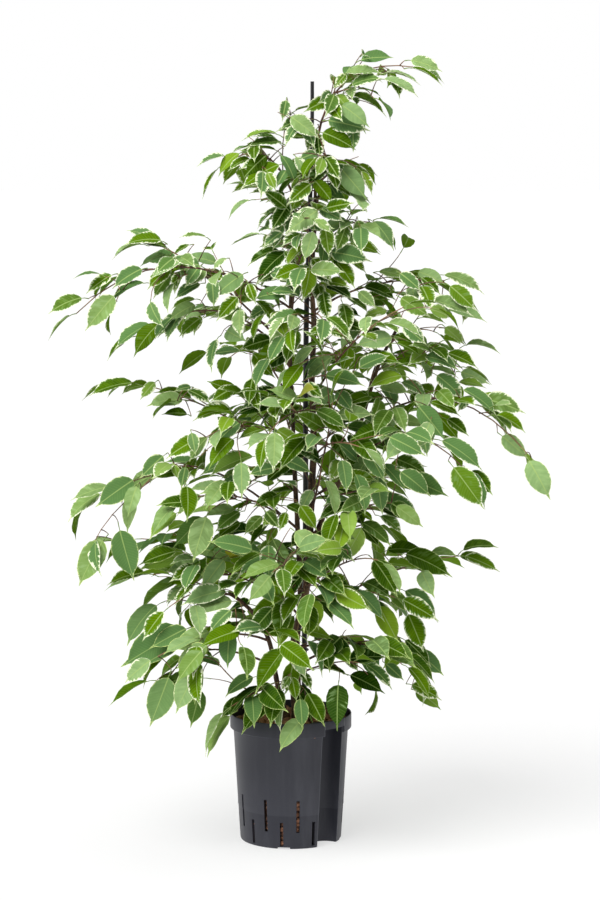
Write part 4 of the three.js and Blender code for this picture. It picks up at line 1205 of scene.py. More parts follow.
@dataclass
class Leaf:
    """One leaf: where it sits, how it hangs and how it is coloured."""

    foot: Vector
    along: Vector
    facing: Vector
    length: float
    arch: float
    fold: float
    seed: float
    cream: float = 0.5
    aged: float = 0.0
    # How far out in the crown the leaf hangs; the finish paints leaves near the middle darker (painted shade)
    # and outer ones paler (painted sheen).
    outer: float = 0.5
    breadth: float = 1.0

    LENGTHS = (66, 44)
    WIDTH_RATIO = 0.46
    FRONT_BREADTH = 1.08
    STALK_RATIO = 0.2
    STALK_RISE = 0.35
    STATIONS = (0, 0.05, 0.15, 0.30, 0.47, 0.62, 0.74, 0.84, 1)
    OUTLINE = (0.0, 0.42, 0.82, 1.02, 1.0, 0.82, 0.52, 0.15, 0.0)
    HALF_THICKNESS = 0.28

    @classmethod
    def on(cls, shoot: Shoot, slot: int, attempt: int) -> "Leaf":
        """The leaf at a slot of a shoot, as one of its tries; the last slot is the end leaf.

        Args:
            shoot: the shoot that bears it.
            slot: its place on the shoot, from the root.
            attempt: the try, which turns it another way.

        Returns:
            The leaf.
        """
        count = shoot.leaf_count()
        last = slot == count
        t = 1 if last else shoot.bare + (1 - shoot.bare) * (slot + 0.5) / count - 0.02
        keys = (shoot.id, slot, attempt)
        foot, tangent = shoot.run(t), shoot.tangent(t)
        side, up = cross_axes(tangent)
        hand = 1 if slot % 2 == 0 else -1
        sideways = between(-0.3, 0.3, *keys, 1) if last else hand * between(0.4, 0.8, *keys, 1)
        forward = 1 if last else between(0.55, 0.95, *keys, 2)
        along = tangent * forward + side * sideways + up * between(-0.2, 0.3, *keys, 3)
        along.z -= between(0.05, 0.5, *keys, 4)
        along.normalize()
        outward = foot - AXIS
        outward.z = 0
        facing = outward.normalized() * 0.22 + FRONT * (0.3 if foot.y < AXIS.y else 0)
        facing.z += 0.75
        facing = (facing - along * facing.dot(along)).normalized()
        facing.rotate(Matrix.Rotation(between(-0.7, 0.7, *keys, 5), 3, along))
        length = lerp(*cls.LENGTHS, crown_share(foot.z)) * between(0.84, 1.1, shoot.id, slot, 6)
        return cls(foot, along, facing, length, between(0.3, 0.8, *keys, 7), between(0.2, 0.42, *keys, 8),
                   draw(shoot.id, slot, 90))

    @classmethod
    def between(cls, base: Vector, tip: Vector, turn: float, key: int) -> "Leaf":
        """The leaf whose blade runs from one point to another and faces the front, turned up by some degrees.

        Args:
            base: where the blade starts.
            tip: where it ends.
            turn: how far its face turns from the front to the sky, in degrees.
            key: names its draws.

        Returns:
            The leaf.
        """
        arch, chord = between(0.35, 0.85, key, 1), tip - base
        length, along = chord.length * arch / (2 * math.sin(arch / 2)), chord.normalized()
        front = (FRONT - along * FRONT.dot(along)).normalized()
        side = along.cross(front) * (1 if along.cross(front).z > 0 else -1)
        facing = front * math.cos(math.radians(turn)) + side * math.sin(math.radians(turn))
        along, facing = (along * math.cos(arch / 2) + facing * math.sin(arch / 2),
                         facing * math.cos(arch / 2) - along * math.sin(arch / 2))
        stalk = (along + facing * cls.STALK_RISE).normalized() * (length * cls.STALK_RATIO)
        fold, seed = between(0.15, 0.4, key, 3), draw(key, 90)
        return cls(base - stalk, along, facing, length, arch, fold, seed, breadth=cls.FRONT_BREADTH)

    def point(self, u: float, v: float, w: float) -> Vector:
        """A point of the blade: u from base to tip, v across in millimetres, w through it.

        Args:
            u: the share of the way from base to tip.
            v: the distance from the rib.
            w: the distance off the blade.

        Returns:
            The point.
        """
        bend = self.arch * u
        across = self.facing.cross(self.along)
        normal = self.facing * math.cos(bend) + self.along * math.sin(bend)
        return (self.stalk_end()
                + self.along * (self.length * math.sin(bend) / self.arch)
                - self.facing * (self.length * (1 - math.cos(bend)) / self.arch)
                + across * (v * math.cos(self.fold))
                + normal * (abs(v) * math.sin(self.fold) + w))

    def stalk_end(self) -> Vector:
        """Where the stalk meets the blade."""
        stalk = (self.along + self.facing * self.STALK_RISE).normalized()
        return self.foot + stalk * (self.length * self.STALK_RATIO)

    def half_width(self, u: float) -> float:
        """Half the blade's width at a station."""
        i = min(range(len(self.STATIONS)), key=lambda k: abs(self.STATIONS[k] - u))
        return self.OUTLINE[i] * self.length * self.WIDTH_RATIO * self.breadth / 2

    def spot(self, place: Vector) -> Vector:
        """Where a point of the blade stamp comes to lie.

        Args:
            place: the point in the stamp.

        Returns:
            Its place, in millimetres, held under the top of the part's box.
        """
        share, u, side = place
        half = self.half_width(u)
        wave = math.sin(u * 9 + self.seed * 20 + (2.4 if share > 0 else 0)) * 0.09 * half * share * share
        quilt = 0.07 * half * (1 - (2 * abs(share) - 1) ** 2) if side > 0 else 0
        spot = self.point(u, share * half, side * self.HALF_THICKNESS + quilt + wave)
        spot.z = min(spot.z, CAD_BOX[1][2] / MM - 0.1)
        return spot

    def stalk(self) -> Route:
        """The stalk as a thin bowed route that ends just inside the blade.

        Returns:
            The route.
        """
        end = self.point(0.05, 0, 0)
        middle = self.foot.lerp(end, 0.5) + self.facing * (0.02 * self.length)
        return Route([self.foot, middle, end], [0.95, 0.75, 0.6])

    def probe(self) -> BVHTree:
        """A coarse copy of the blade that tells whether it meets another.

        Returns:
            The copy.
        """
        half = self.length * self.WIDTH_RATIO * self.breadth / 2
        rows = [[self.point(u, share * half * reach, 0) for share in (-1, 0, 1)]
                for u, reach in ((0.06, 0.3), (0.33, 1.0), (0.68, 0.66), (0.97, 0.06))]
        points = [point for row in rows for point in row]
        faces = [(3 * r + c, 3 * r + c + 1, 3 * r + c + 4, 3 * r + c + 3) for r in range(3) for c in range(2)]
        return BVHTree.FromPolygons(points, faces, epsilon=0.5)


@dataclass
class Crowd:
    """All blades that stand so far, to keep new ones clear of them."""

    members: list[tuple[Vector, float, BVHTree]] = field(default_factory=list)

    FEELERS = ((1, 0), (0.25, -10), (0.25, 10), (0.55, -12), (0.55, 12), (0.8, 0))
    POT_TOP, POT_RADIUS = 196, 94

    def admits(self, leaf: Leaf, anywhere: bool = False) -> bool:
        """True if the leaf meets no other blade, and stays off the pot and inside the part's box.

        Args:
            leaf: the new leaf.
            anywhere: lets it hang in the open air between the tiers too.

        Returns:
            Whether it may stay.
        """
        ends = [leaf.point(u, v, 0) for u, v in self.FEELERS]
        if not anywhere and any(in_open_air(end) for end in ends):
            return False
        low, high = CAD_BOX
        for end in ends:
            inside = all(low[axis] / MM < end[axis] < high[axis] / MM for axis in range(3))
            if not inside or (end.z < self.POT_TOP and math.hypot(end.x, end.y) < self.POT_RADIUS):
                return False
        centre, reach, probe = leaf.point(0.5, 0, 0), leaf.length * 0.6, leaf.probe()
        near = (other for middle, size, other in self.members if (middle - centre).length < size + reach)
        return not any(probe.overlap(other) for other in near)

    def add(self, leaf: Leaf) -> None:
        """Takes the leaf in."""
        self.members.append((leaf.point(0.5, 0, 0), leaf.length * 0.6, leaf.probe()))


class NodeMatch:
    """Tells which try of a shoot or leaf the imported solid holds, from the solid's corners."""

    def __init__(self, node: str) -> None:
        """Reads the node's corners.

        Args:
            node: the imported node's name.
        """
        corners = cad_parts[node].data.vertices
        self.tree = kdtree.KDTree(len(corners))
        for i, corner in enumerate(corners):
            self.tree.insert(corner.co / MM, i)
        self.tree.balance()

    def holds(self, point: Vector, slack: float = 0.12) -> bool:
        """True if the solid has a corner there."""
        return self.tree.find(point)[2] < slack

    def shoot(self, make: Callable[[int], Shoot], tries: int) -> Optional[Shoot]:
        """The try of a shoot that stands in the solid.

        Args:
            make: makes the shoot for a try.
            tries: how many tries the source makes.

        Returns:
            The shoot, or None if the solid left it out.
        """
        for attempt in range(tries):
            shoot = make(attempt)
            if sum(self.holds(corner) for corner in shoot.last_ring()) >= 2:
                return shoot
        return None

    def leaf(self, shoot: Shoot, slot: int) -> Optional[Leaf]:
        """The try of a leaf that stands in the solid.

        Args:
            shoot: the shoot that bears it.
            slot: its place.

        Returns:
            The leaf, or None if the solid left it out.
        """
        for attempt in range(TRIES["leaf"]):
            leaf = Leaf.on(shoot, slot, attempt)
            if self.holds(leaf.point(1, 0, 0)):
                return leaf
        return None


@dataclass
class Branch:
    """One leafy branch: its shoots and leaves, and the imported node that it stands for."""

    node: str
    plan: BranchPlan
    id: int
    shoots: list[Shoot] = field(default_factory=list)
    leaves: list[Leaf] = field(default_factory=list)

    BACK_PACE, FRONT_PACE = 60, 130
    TWIG_REACH = (30, 66)

    def grow(self, crowd: Crowd) -> list[tuple[Shoot, int]]:
        """Finds the shoots and main leaves that the solid holds.

        Args:
            crowd: takes the blades in.

        Returns:
            The places that bear no leaf yet.
        """
        match = NodeMatch(self.node)
        branch = match.shoot(lambda attempt: self.plan.shoot(self.id, attempt), TRIES["branch"])
        if branch is None:
            LOG.warning("%s: no try of the branch fits its solid", self.node)
            branch = self.plan.shoot(self.id, 0)
        self.shoots = [branch]
        for k, tip in enumerate(self.plan.twig_ends(self.id, branch)):
            id = self.id + k + 1
            twig = match.shoot(lambda attempt: twig_shoot(id, branch, tip, attempt), TRIES["twig"])
            self.shoots.append(twig or twig_shoot(id, branch, tip, 0))
        free = []
        for shoot, slot in (place for shoot in self.shoots for place in shoot.slots()):
            leaf = match.leaf(shoot, slot)
            if leaf:
                self.hang(leaf, crowd)
            else:
                free.append((shoot, slot))
        return free

    def hang(self, leaf: Leaf, crowd: Crowd) -> None:
        """Takes a leaf in, here and in the crowd."""
        self.leaves.append(leaf)
        crowd.add(leaf)

    def thicken(self) -> list[tuple[Shoot, int]]:
        """Adds the short side twigs that the solid leaves out, and gives their bare places.

        Returns:
            The places for leaves on them.
        """
        branch, free = self.shoots[0], []
        span = (branch.root - branch.end).length
        count = max(1, round(span / (self.BACK_PACE if self.plan.twigs is None else self.FRONT_PACE)))
        for k in range(count):
            t = 0.22 + 0.5 * (k + 0.5) / count
            tangent = branch.tangent(t)
            side, up = cross_axes(tangent)
            reach = between(*self.TWIG_REACH, self.id, 30, k)
            hand = 1 if k % 2 == 0 else -1
            aside = hand * between(0.35, 0.8, self.id, 31, k)
            rise = between(-0.25, 0.4, self.id, 32, k)
            tip = branch.bezier(t) + tangent * (0.75 * reach) + side * (aside * reach) + up * (rise * reach)
            free += self.sprout(self.id + 20 + k, branch.bezier(t), tip, 0.12).slots()
        return free

    def sprout(self, id: int, root: Vector, tip: Vector, bow: float) -> Shoot:
        """Adds one short twig that bows upward.

        Args:
            id: the twig's number.
            root: where it starts.
            tip: where it ends.
            bow: how far it bows, as a share of its length.

        Returns:
            The twig.
        """
        span = (root - tip).length
        control = root.lerp(tip, 0.5)
        control.z += bow * span
        shoot = Shoot(id, root, control, tip, (2, 1.5), 0.2, 2)
        self.shoots.append(shoot)
        return shoot

    def fill(self, free: Iterable[tuple[Shoot, int]], crowd: Crowd) -> None:
        """Hangs finer leaves on the places that are still bare, clear of all others.

        Args:
            free: the bare places.
            crowd: the blades that stand already.
        """
        for shoot, slot in free:
            tries = (Leaf.on(shoot, slot, attempt) for attempt in range(TRIES["filling"]))
            leaf = next((leaf for leaf in tries if crowd.admits(leaf)), None)
            if leaf:
                self.hang(leaf, crowd)


def leafy_branches() -> list[Branch]:
    """All branches in the order of their nodes.

    Returns:
        The branches, not grown yet.
    """
    plans = [
        BranchPlan(stem, height, Vector(middle), Vector(end), [Vector(tip) for tip in twigs])
        for stem, height, middle, end, twigs in FRONT_BRANCHES
    ]
    for stem, height, compass, reach, rise in BACK_BRANCHES:
        angle = math.radians(compass)
        root = STEMS[stem].point_at(height)
        away = Vector((math.cos(angle), math.sin(angle), 0))
        middle, end = root + away * (0.5 * reach), root + away * reach
        middle.z += rise
        end.z += 0.85 * rise
        plans.append(BranchPlan(stem, height, middle, end, None))
    return [Branch(f"leafy_branch_{i + 1:02d}", plan, 100 * (i + 1)) for i, plan in enumerate(plans)]


class Foliage:
    """All leafy branches, grown together and dressed one piece each."""

    SPRIG_ROWS = (("main", 300, 1030, 38), ("rear", 330, 940, 46), ("bough", 500, 752, 40),
                  ("left", 270, 372, 50))
    NUDGES = (0, -12, 12, -24, 24, -36, 36)
    FRONT_SHARE = 0.25
    LEAF_KEY, STALK_KEY, SPRIG_KEY, STEM_KEY = 80000, 70000, 60000, 50000
    BRANCH_STEPS, TWIG_STEPS = 9, 5
    BRANCH_RADII, TWIG_RADII = (2.0, 0.75), (1.05, 0.55)
    ALL_GREEN, AGED = 0.16, (0.500, 0.502)

    def __init__(self) -> None:
        """Cuts the stamps and grows the branches."""
        self.blade = blade_stamp(Leaf.STATIONS)
        self.stalk = reed_stamp(3, 2)
        self.reeds = {4: reed_stamp(6, self.BRANCH_STEPS), 2: reed_stamp(5, self.TWIG_STEPS)}
        self.branches = leafy_branches()
        crowd = Crowd()
        free = [branch.grow(crowd) for branch in self.branches]
        self.place_front(crowd)
        for branch, places in zip(self.branches, free):
            share = 1.0 if branch.plan.twigs is None else self.FRONT_SHARE
            branch.fill([(shoot, slot) for shoot, slot in places if draw(shoot.id, slot, 95) < share], crowd)
        for branch in self.branches:
            branch.fill(branch.thicken(), crowd)
        self.sprig_stems(crowd)
        self.fill_front(crowd)
        self.tint()

    def place_front(self, crowd: Crowd) -> None:
        """Hangs each leaf that stands out in the front view on a twiglet from the nearest wood.

        Args:
            crowd: the blades that stand already.
        """
        woods = [(branch, shoot.bezier(t)) for branch in self.branches for shoot in branch.shoots
                 for t in (0.2, 0.3, 0.4, 0.5, 0.6, 0.7, 0.8, 0.9, 1.0)]
        for k, (x, y, tip_x, tip_y, depth, turn) in enumerate(FRONT_LEAVES):
            base, tip = VIEW.place(x, y, depth, VIEW.aside), VIEW.place(tip_x, tip_y, depth, VIEW.aside)
            for nudge in self.NUDGES:
                start, end = base + Vector((0, nudge, 0)), tip + Vector((0, nudge - 8, 0))
                leaf = Leaf.between(start, end, turn, self.LEAF_KEY + k)
                if crowd.admits(leaf, anywhere=True):
                    branch, root = min(woods, key=lambda wood: (wood[1] - leaf.foot).length)
                    branch.sprout(self.STALK_KEY + 10 * k, root, leaf.foot, 0.15)
                    branch.hang(leaf, crowd)
                    break

    def sprig_stems(self, crowd: Crowd) -> None:
        """Adds short leafy sprigs all round the stems, each to the branch nearest to its foot.

        Args:
            crowd: the blades that stand already.
        """
        key = 0
        for name, low, high, pace in self.SPRIG_ROWS:
            stem, height = STEMS[name], low
            while height < high:
                key += 1
                root = stem.point_at(height)
                angle = 2.4 * key
                reach = between(70, 140, 6, key) * (1 - 0.4 * crown_share(height))
                away = Vector((math.cos(angle), math.sin(angle), between(0.05, 0.75, 7, key)))
                kin = min(self.branches, key=lambda one: (one.shoots[0].root - root).length)
                sprig = kin.sprout(self.STEM_KEY + 10 * key, root, root + away * reach, 0.16)
                kin.fill(sprig.slots(), crowd)
                height += pace

    def fill_front(self, crowd: Crowd) -> None:
        """Leads an arching sprig from the nearest wood to each place that the front shows full.

        Args:
            crowd: the blades that stand already.
        """
        woods = [(branch, shoot.bezier(t)) for branch in self.branches for shoot in branch.shoots[:1]
                 for t in (0.1, 0.25, 0.4, 0.55, 0.7)]
        for name in ("main", "rear"):
            for height in range(240, 1060, 12):
                foot = STEMS[name].point_at(height)
                woods.append((min(self.branches, key=lambda one: (one.shoots[0].root - foot).length), foot))
        for k, pixel_and_depth in enumerate(FRONT_SPRIGS):
            tip = VIEW.place(*pixel_and_depth, EYE.x)
            wanted = tip + Vector((0, 0, 6))
            branch, root = min(woods, key=lambda wood: (wood[1] - wanted).length
                               + 0.8 * abs(wood[1].z - wanted.z) + 200 * ((wood[1] - tip).length < 32))
            branch.fill(branch.sprout(self.SPRIG_KEY + 10 * k, root, tip, 0.2).slots(), crowd)

    def tint(self) -> None:
        """Settles each leaf's share of cream: broad margins near the top, thin ones near the pot. It also
        sets how far out in the crown the leaf hangs, which the finish turns into painted shade inside and
        painted sheen outside, and which leaves are aged.
        """
        for leaf in (leaf for branch in self.branches for leaf in branch.leaves):
            height = crown_share(leaf.foot.z)
            chance = draw(int(leaf.seed * 1e6), 91)
            broad = lerp(0.10, 0.32, height) + 1.2 * max(chance - 0.66, 0)
            leaf.cream = 0.0 if chance < self.ALL_GREEN else min(broad, 0.8)
            away = (leaf.foot - AXIS).to_2d().length
            # Painted light: outer darkens leaves deep in the crown (painted shade) and pales outer ones
            # (painted sheen).
            leaf.outer = min(away / lerp(210, 70, height), 1.0)
            leaf.aged = 0.7 if self.AGED[0] < chance < self.AGED[1] else 0.0

    def lay_leaf(self, bm: Shape, leaf: Leaf) -> None:
        """Adds one leaf with its stalk, and writes the numbers that its finish reads.

        Args:
            bm: the piece's shape.
            leaf: the leaf.
        """
        uv = bm.loops.layers.uv["blade"]
        floats = bm.faces.layers.float
        inset = bm.verts.layers.float["inset"]
        laid, flat = self.blade.lay(bm, leaf.spot)
        for point, place in flat.items():
            point[inset] = (1 - abs(place.x)) * leaf.half_width(place.y)
        stalk, _ = self.stalk.lay(bm, leaf.stalk().spot)
        for face in laid:
            below = sum(flat[loop.vert].z for loop in face.loops) < 0
            # outer carries the crown's painted shade and painted sheen to the finish.
            numbers = {"leaf": leaf.seed, "cream": leaf.cream, "age": leaf.aged, "outer": leaf.outer,
                       "under": float(below)}
            for name, number in numbers.items():
                face[floats[name]] = number
            for loop in face.loops:
                share, u, _ = flat[loop.vert]
                loop[uv].uv = (0.5 + share * leaf.half_width(u) / 100, u * leaf.length / 100)
        for face in stalk:
            face[floats["leaf"]] = leaf.seed
            for loop in face.loops:
                loop[uv].uv = (0.5, 0.0)
                loop.vert[inset] = 9.0

    def lay_shoot(self, bm: Shape, shoot: Shoot, is_branch: bool) -> None:
        """Adds one shoot as a smooth round twig that thins and turns green towards its tip.

        Args:
            bm: the piece's shape.
            shoot: the shoot.
            is_branch: whether it is the branch itself.
        """
        youth = bm.verts.layers.float["youth"]
        steps = self.BRANCH_STEPS if is_branch else self.TWIG_STEPS
        thick = self.BRANCH_RADII if is_branch else self.TWIG_RADII
        shares = [i / steps for i in range(steps + 1)]
        route = Route([shoot.bezier(t) for t in shares], [lerp(*thick, t ** 0.7) for t in shares])
        _, flat = self.reeds[shoot.segments].lay(bm, route.spot, 1)
        for point, place in flat.items():
            point[youth] = place.z if is_branch else 0.25 + 0.75 * place.z

    def dress(self, shop: Workshop) -> None:
        """Makes one piece for each branch.

        Args:
            shop: takes the pieces in.
        """
        for branch in self.branches:
            bm = bmesh.new()
            bm.loops.layers.uv.new("blade")
            # outer carries the crown's painted shade and painted sheen.
            for name in ("leaf", "under", "cream", "age", "outer"):
                bm.faces.layers.float.new(name)
            for name in ("inset", "youth"):
                bm.verts.layers.float.new(name)
            for i, shoot in enumerate(branch.shoots):
                self.lay_shoot(bm, shoot, i == 0)
            for leaf in branch.leaves:
                self.lay_leaf(bm, leaf)
            name = branch.node.replace("leafy_branch", "foliage")
            shop.deliver(name, bm, [shop.leaf, shop.twig], Slot.FOLIAGE, branch.node)
        LOG.info("%d leaves", sum(len(branch.leaves) for branch in self.branches))


# Stems, stake and ties


def smooth_route(points: Sequence[Point], count: int) -> list[Vector]:
    """Evenly spaced points of a flowing line through given ones.

    Args:
        points: the given points.
        count: how many points to give back.

    Returns:
        The points of the line.
    """
    knots = [Vector(point) for point in points]
    knots = [knots[0] * 2 - knots[1], *knots, knots[-1] * 2 - knots[-2]]
    line = []
    for i in range(count):
        at = i / (count - 1) * (len(points) - 1)
        k = min(int(at), len(points) - 2)
        a, b, c, d = knots[k:k + 4]
        t = at - k
        line.append(0.5 * (b * 2 + (c - a) * t + (a * 2 - b * 5 + c * 4 - d) * t * t
                           + (b * 3 - a - c * 3 + d) * t ** 3))
    return line


@dataclass
class Woodwork:
    """The three stems with the right bough, the stake and the wire ties."""

    sides: int = 10
    nodes: tuple[tuple[str, tuple[str, ...]], ...] = (
        ("stem_main", ("main", "bough")), ("stem_rear", ("rear",)), ("stem_left", ("left",)))
    stake_radii: tuple[float, float] = (4, 2.7)
    stake_taper_from: float = 770
    stake_route: tuple[Point, ...] = (
        (22, 12, 30), (20, 12, 230), (22, 11, 520), (22, 11, 640), (23, 10, 770), (26, 9, 865), (31, 9, 1040),
        (31.5, 9, 1118))
    wire: float = 1.1
    tie_steps: int = 24
    ties: tuple[tuple[str, float], ...] = (("low", 282), ("middle", 830), ("top", 1034))

    def lay_stem(self, bm: Shape, name: str, key: int) -> None:
        """Adds one stem with small knots along it.

        Args:
            bm: the piece's shape.
            name: the stem's name.
            key: names its draws.
        """
        stem = STEMS[name]
        count = 8 * len(stem.route)
        radii = [
            lerp(*stem.radii, i / (count - 1)) * (1 + between(-0.05, 0.10, key, i)) for i in range(count)
        ]
        reed_stamp(self.sides, count - 1).lay(bm, Route(smooth_route(stem.route, count), radii).spot)

    def stake_radius_at(self, height: float) -> float:
        """The stake's thickness at a height."""
        share = (height - self.stake_taper_from) / (self.stake_route[-1][2] - self.stake_taper_from)
        return lerp(*self.stake_radii, clamp(share))

    def tie_route(self, height: float) -> list[Vector]:
        """The loop of a tie, drawn tight round the stake and the main stem.

        Args:
            height: the tie's height.

        Returns:
            The points of the loop.
        """
        stem = STEMS["main"]
        held = [(Stem(self.stake_radii, self.stake_route).point_at(height), self.stake_radius_at(height)),
                (stem.point_at(height), stem.radius_at(height))]
        loop = []
        for i in range(self.tie_steps):
            angle = 2 * math.pi * i / self.tie_steps
            outward = Vector((math.cos(angle), math.sin(angle), 0))
            middle, radius = max(held, key=lambda one: one[0].dot(outward) + one[1])
            spot = middle + outward * (radius + 0.35 + self.wire)
            loop.append(Vector((spot.x, spot.y, height + 1.2 * math.sin(angle + height))))
        return loop

    def dress(self, shop: Workshop) -> None:
        """Makes the stems, the stake and the ties.

        Args:
            shop: takes the pieces in.
        """
        for node, names in self.nodes:
            bm = bmesh.new()
            bm.verts.layers.float.new("youth")
            for key, name in enumerate(names):
                self.lay_stem(bm, name, 700 + key)
            shop.deliver(node.replace("stem", "bark"), bm, [shop.bark], Slot.BARK, node)

        bm = bmesh.new()
        points = smooth_route(self.stake_route, 40)
        radii = [self.stake_radius_at(p.z) * between(0.96, 1.0, 720, i) for i, p in enumerate(points)]
        reed_stamp(14, 39).lay(bm, Route(points, radii).spot)
        shop.deliver("support_stake", bm, [shop.stake], Slot.STAKE, "plant_stake")

        for name, height in self.ties:
            shop.deliver(f"wire_tie_{name}", self.tie(height), [shop.wire], Slot.WIRE, f"tie_{name}")

    def tie(self, height: float) -> Shape:
        """A closed ring of wire along the loop of a tie.

        Args:
            height: the tie's height.

        Returns:
            Its shape.
        """
        bm = bmesh.new()
        loop, rings = self.tie_route(height), []
        for i, point in enumerate(loop):
            tangent = (loop[(i + 1) % self.tie_steps] - loop[i - 1]).normalized()
            place = Matrix.Translation(point * MM) @ tangent.to_track_quat("Z", "Y").to_matrix().to_4x4()
            made = bmesh.ops.create_circle(bm, segments=6, radius=self.wire * MM, matrix=place)["verts"]
            rings.append({edge for vert in made for edge in vert.link_edges})
        for i, ring in enumerate(rings):
            bmesh.ops.bridge_loops(bm, edges=list(ring | rings[(i + 1) % self.tie_steps]))
        for face in bm.faces:
            face.smooth = True
        bmesh.ops.recalc_face_normals(bm, faces=bm.faces)
        return bm


# Pot and granules


@dataclass
class CulturePot:
    """The round culture pot with its collar, water slots, gauge recess and foot notches."""

    height: float = 190
    rim: float = 90
    collar: float = 22
    shoulder: float = 85
    base: float = 75
    wall: float = 2.2
    floor: float = 4
    steps: int = 144
    slot_count: int = 20
    slot_width: float = 4.8
    slot_first: float = -64
    slot_low: tuple[float, float] = (4, 40)
    slot_high: tuple[float, float] = (25, 73)
    slot_clearance: float = 20
    recess_at: float = 48
    recess_width: float = 43
    recess_inner: float = 47
    recess_top: float = 178
    notch_count: int = 4
    notch_first: float = -8
    notch_width: float = 19
    notch_height: float = 3
    notch_inner: float = 64

    def wall_radius(self, height: float) -> float:
        """The outer radius of the tapering wall."""
        return lerp(self.base, self.shoulder, height / (self.height - self.collar))

    def turned(self, profile: Sequence[tuple[float, float]]) -> bpy.types.Object:
        """A solid of revolution.

        Args:
            profile: radius and height of its outline, from the axis at the bottom to the axis at the top.

        Returns:
            The solid, as a loose object in metres.
        """
        bm = bmesh.new()
        chain = [bm.verts.new((radius * MM, 0, height * MM)) for radius, height in profile]
        edges = [bm.edges.new(pair) for pair in zip(chain, chain[1:])]
        bmesh.ops.spin(bm, geom=chain + edges, axis=(0, 0, 1), cent=(0, 0, 0), angle=2 * math.pi,
                       steps=self.steps, use_merge=True)
        bmesh.ops.remove_doubles(bm, verts=bm.verts, dist=1e-6)
        bmesh.ops.recalc_face_normals(bm, faces=bm.faces)
        return stand("turned", mesh_of("turned", bm))

    def block(self, azimuth: float, inner: float, outer: float, width: float, low: float, high: float,
              rounded: bool = False) -> bpy.types.Object:
        """A box that points away from the axis.

        Args:
            azimuth: its direction from the front, in degrees.
            inner: its nearest distance from the axis.
            outer: its furthest distance.
            width: its width.
            low: its lowest height.
            high: its highest height.
            rounded: gives it a round inner end.

        Returns:
            The box, as a loose object.
        """
        bm = bmesh.new()
        bmesh.ops.create_cube(bm, size=1)
        size = Matrix.Diagonal(((outer - inner) * MM, width * MM, (high - low) * MM, 1))
        shift = Matrix.Translation(Vector(((inner + outer) / 2, 0, (low + high) / 2)) * MM)
        bmesh.ops.transform(bm, matrix=shift @ size, verts=bm.verts)
        if rounded:
            near = [edge for edge in bm.edges if all(v.co.x < (inner + 1) * MM for v in edge.verts)
                    and abs(edge.verts[0].co.z - edge.verts[1].co.z) > MM]
            bmesh.ops.bevel(bm, geom=near, offset=width * 0.4999 * MM, segments=14, profile=0.5,
                            affect="EDGES", material=-1)
        turn = Matrix.Rotation(math.radians(azimuth - 90), 4, "Z")
        bmesh.ops.transform(bm, matrix=turn, verts=bm.verts)
        return stand("block", mesh_of("block", bm))

    def recess(self, grow: float, top: float) -> bpy.types.Object:
        """The recess for the water gauge, rounded towards the middle of the pot."""
        return self.block(self.recess_at, self.recess_inner - grow, self.rim + 20,
                          self.recess_width + 2 * grow, -10, top, rounded=True)

    @staticmethod
    def cut(solid: bpy.types.Object, *cutters: bpy.types.Object) -> bpy.types.Object:
        """Takes the cutters away from a solid, and removes them from the scene.

        Args:
            solid: what is cut.
            cutters: what cuts it.

        Returns:
            The solid.
        """
        for cutter in cutters:
            modifier = solid.modifiers.new("cut", "BOOLEAN")
            modifier.operation, modifier.solver, modifier.object = "DIFFERENCE", "EXACT", cutter
        graph = bpy.context.evaluated_depsgraph_get()
        mesh = bpy.data.meshes.new_from_object(solid.evaluated_get(graph))
        solid.modifiers.clear()
        solid.data = mesh
        for cutter in cutters:
            bpy.data.objects.remove(cutter)
        return solid

    @staticmethod
    def shape_of(solid: bpy.types.Object) -> Shape:
        """Takes a loose solid out of the scene.

        Args:
            solid: the solid.

        Returns:
            Its shape.
        """
        bm = bmesh.new()
        bm.from_mesh(solid.data)
        bpy.data.objects.remove(solid)
        return bm

    def outside(self) -> bpy.types.Object:
        """The outer form: tapering wall with a fine step, lipped collar and rolled rim.

        Returns:
            The solid.
        """
        shoulder = self.height - self.collar
        return self.turned([
            (0, 0), (self.base - 2.5, 0), (self.base - 0.8, 0.6), (self.base, 2.2),
            (self.wall_radius(52), 52), (self.wall_radius(52) + 0.5, 53.2), (self.wall_radius(60) + 0.1, 60),
            (self.wall_radius(120), 120), (self.shoulder, shoulder - 1.5),
            (self.shoulder + 0.8, shoulder - 0.2),
            (self.rim - 1.2, shoulder), (self.rim - 0.2, shoulder + 0.9), (self.rim, shoulder + 2),
            (self.rim, self.height - 1.4), (self.rim - 0.5, self.height - 0.3), (self.rim - 1.1, self.height),
            (0, self.height)])

    def inside(self) -> bpy.types.Object:
        """The room inside the pot.

        Returns:
            The solid.
        """
        shoulder, wall = self.height - self.collar, self.wall
        return self.turned([
            (0, self.floor), (self.wall_radius(self.floor) - wall - 2, self.floor),
            (self.wall_radius(self.floor) - wall, self.floor + 2), (self.shoulder - wall, shoulder - 1),
            (self.rim - wall, shoulder + 4), (self.rim - wall, self.height - 1.2),
            (self.rim - wall + 1.1, self.height + 0.1), (self.rim - wall + 1.1, self.height + 5),
            (0, self.height + 5)])

    def slots(self) -> list[tuple[float, float, float]]:
        """Direction, foot and top of each water slot round the pot, high and low ones in turn."""
        pace, heights = 360 / self.slot_count, (self.slot_high, self.slot_low)
        return [(self.slot_first + pace * i, *heights[i % 2]) for i in range(self.slot_count)]

    def openings(self) -> list[bpy.types.Object]:
        """The water slots, which stop short of the recess, and the foot notches.

        Returns:
            A block for each.
        """
        blocks = [
            self.block(azimuth, self.base - 10, self.base + 14, self.slot_width, low, high)
            for azimuth, low, high in self.slots() if abs(azimuth - self.recess_at) >= self.slot_clearance
        ]
        for i in range(self.notch_count):
            azimuth = self.notch_first + 360 / self.notch_count * i
            blocks.append(self.block(azimuth, self.notch_inner, self.notch_inner + 30, self.notch_width,
                                     -self.notch_height, self.notch_height))
        return blocks

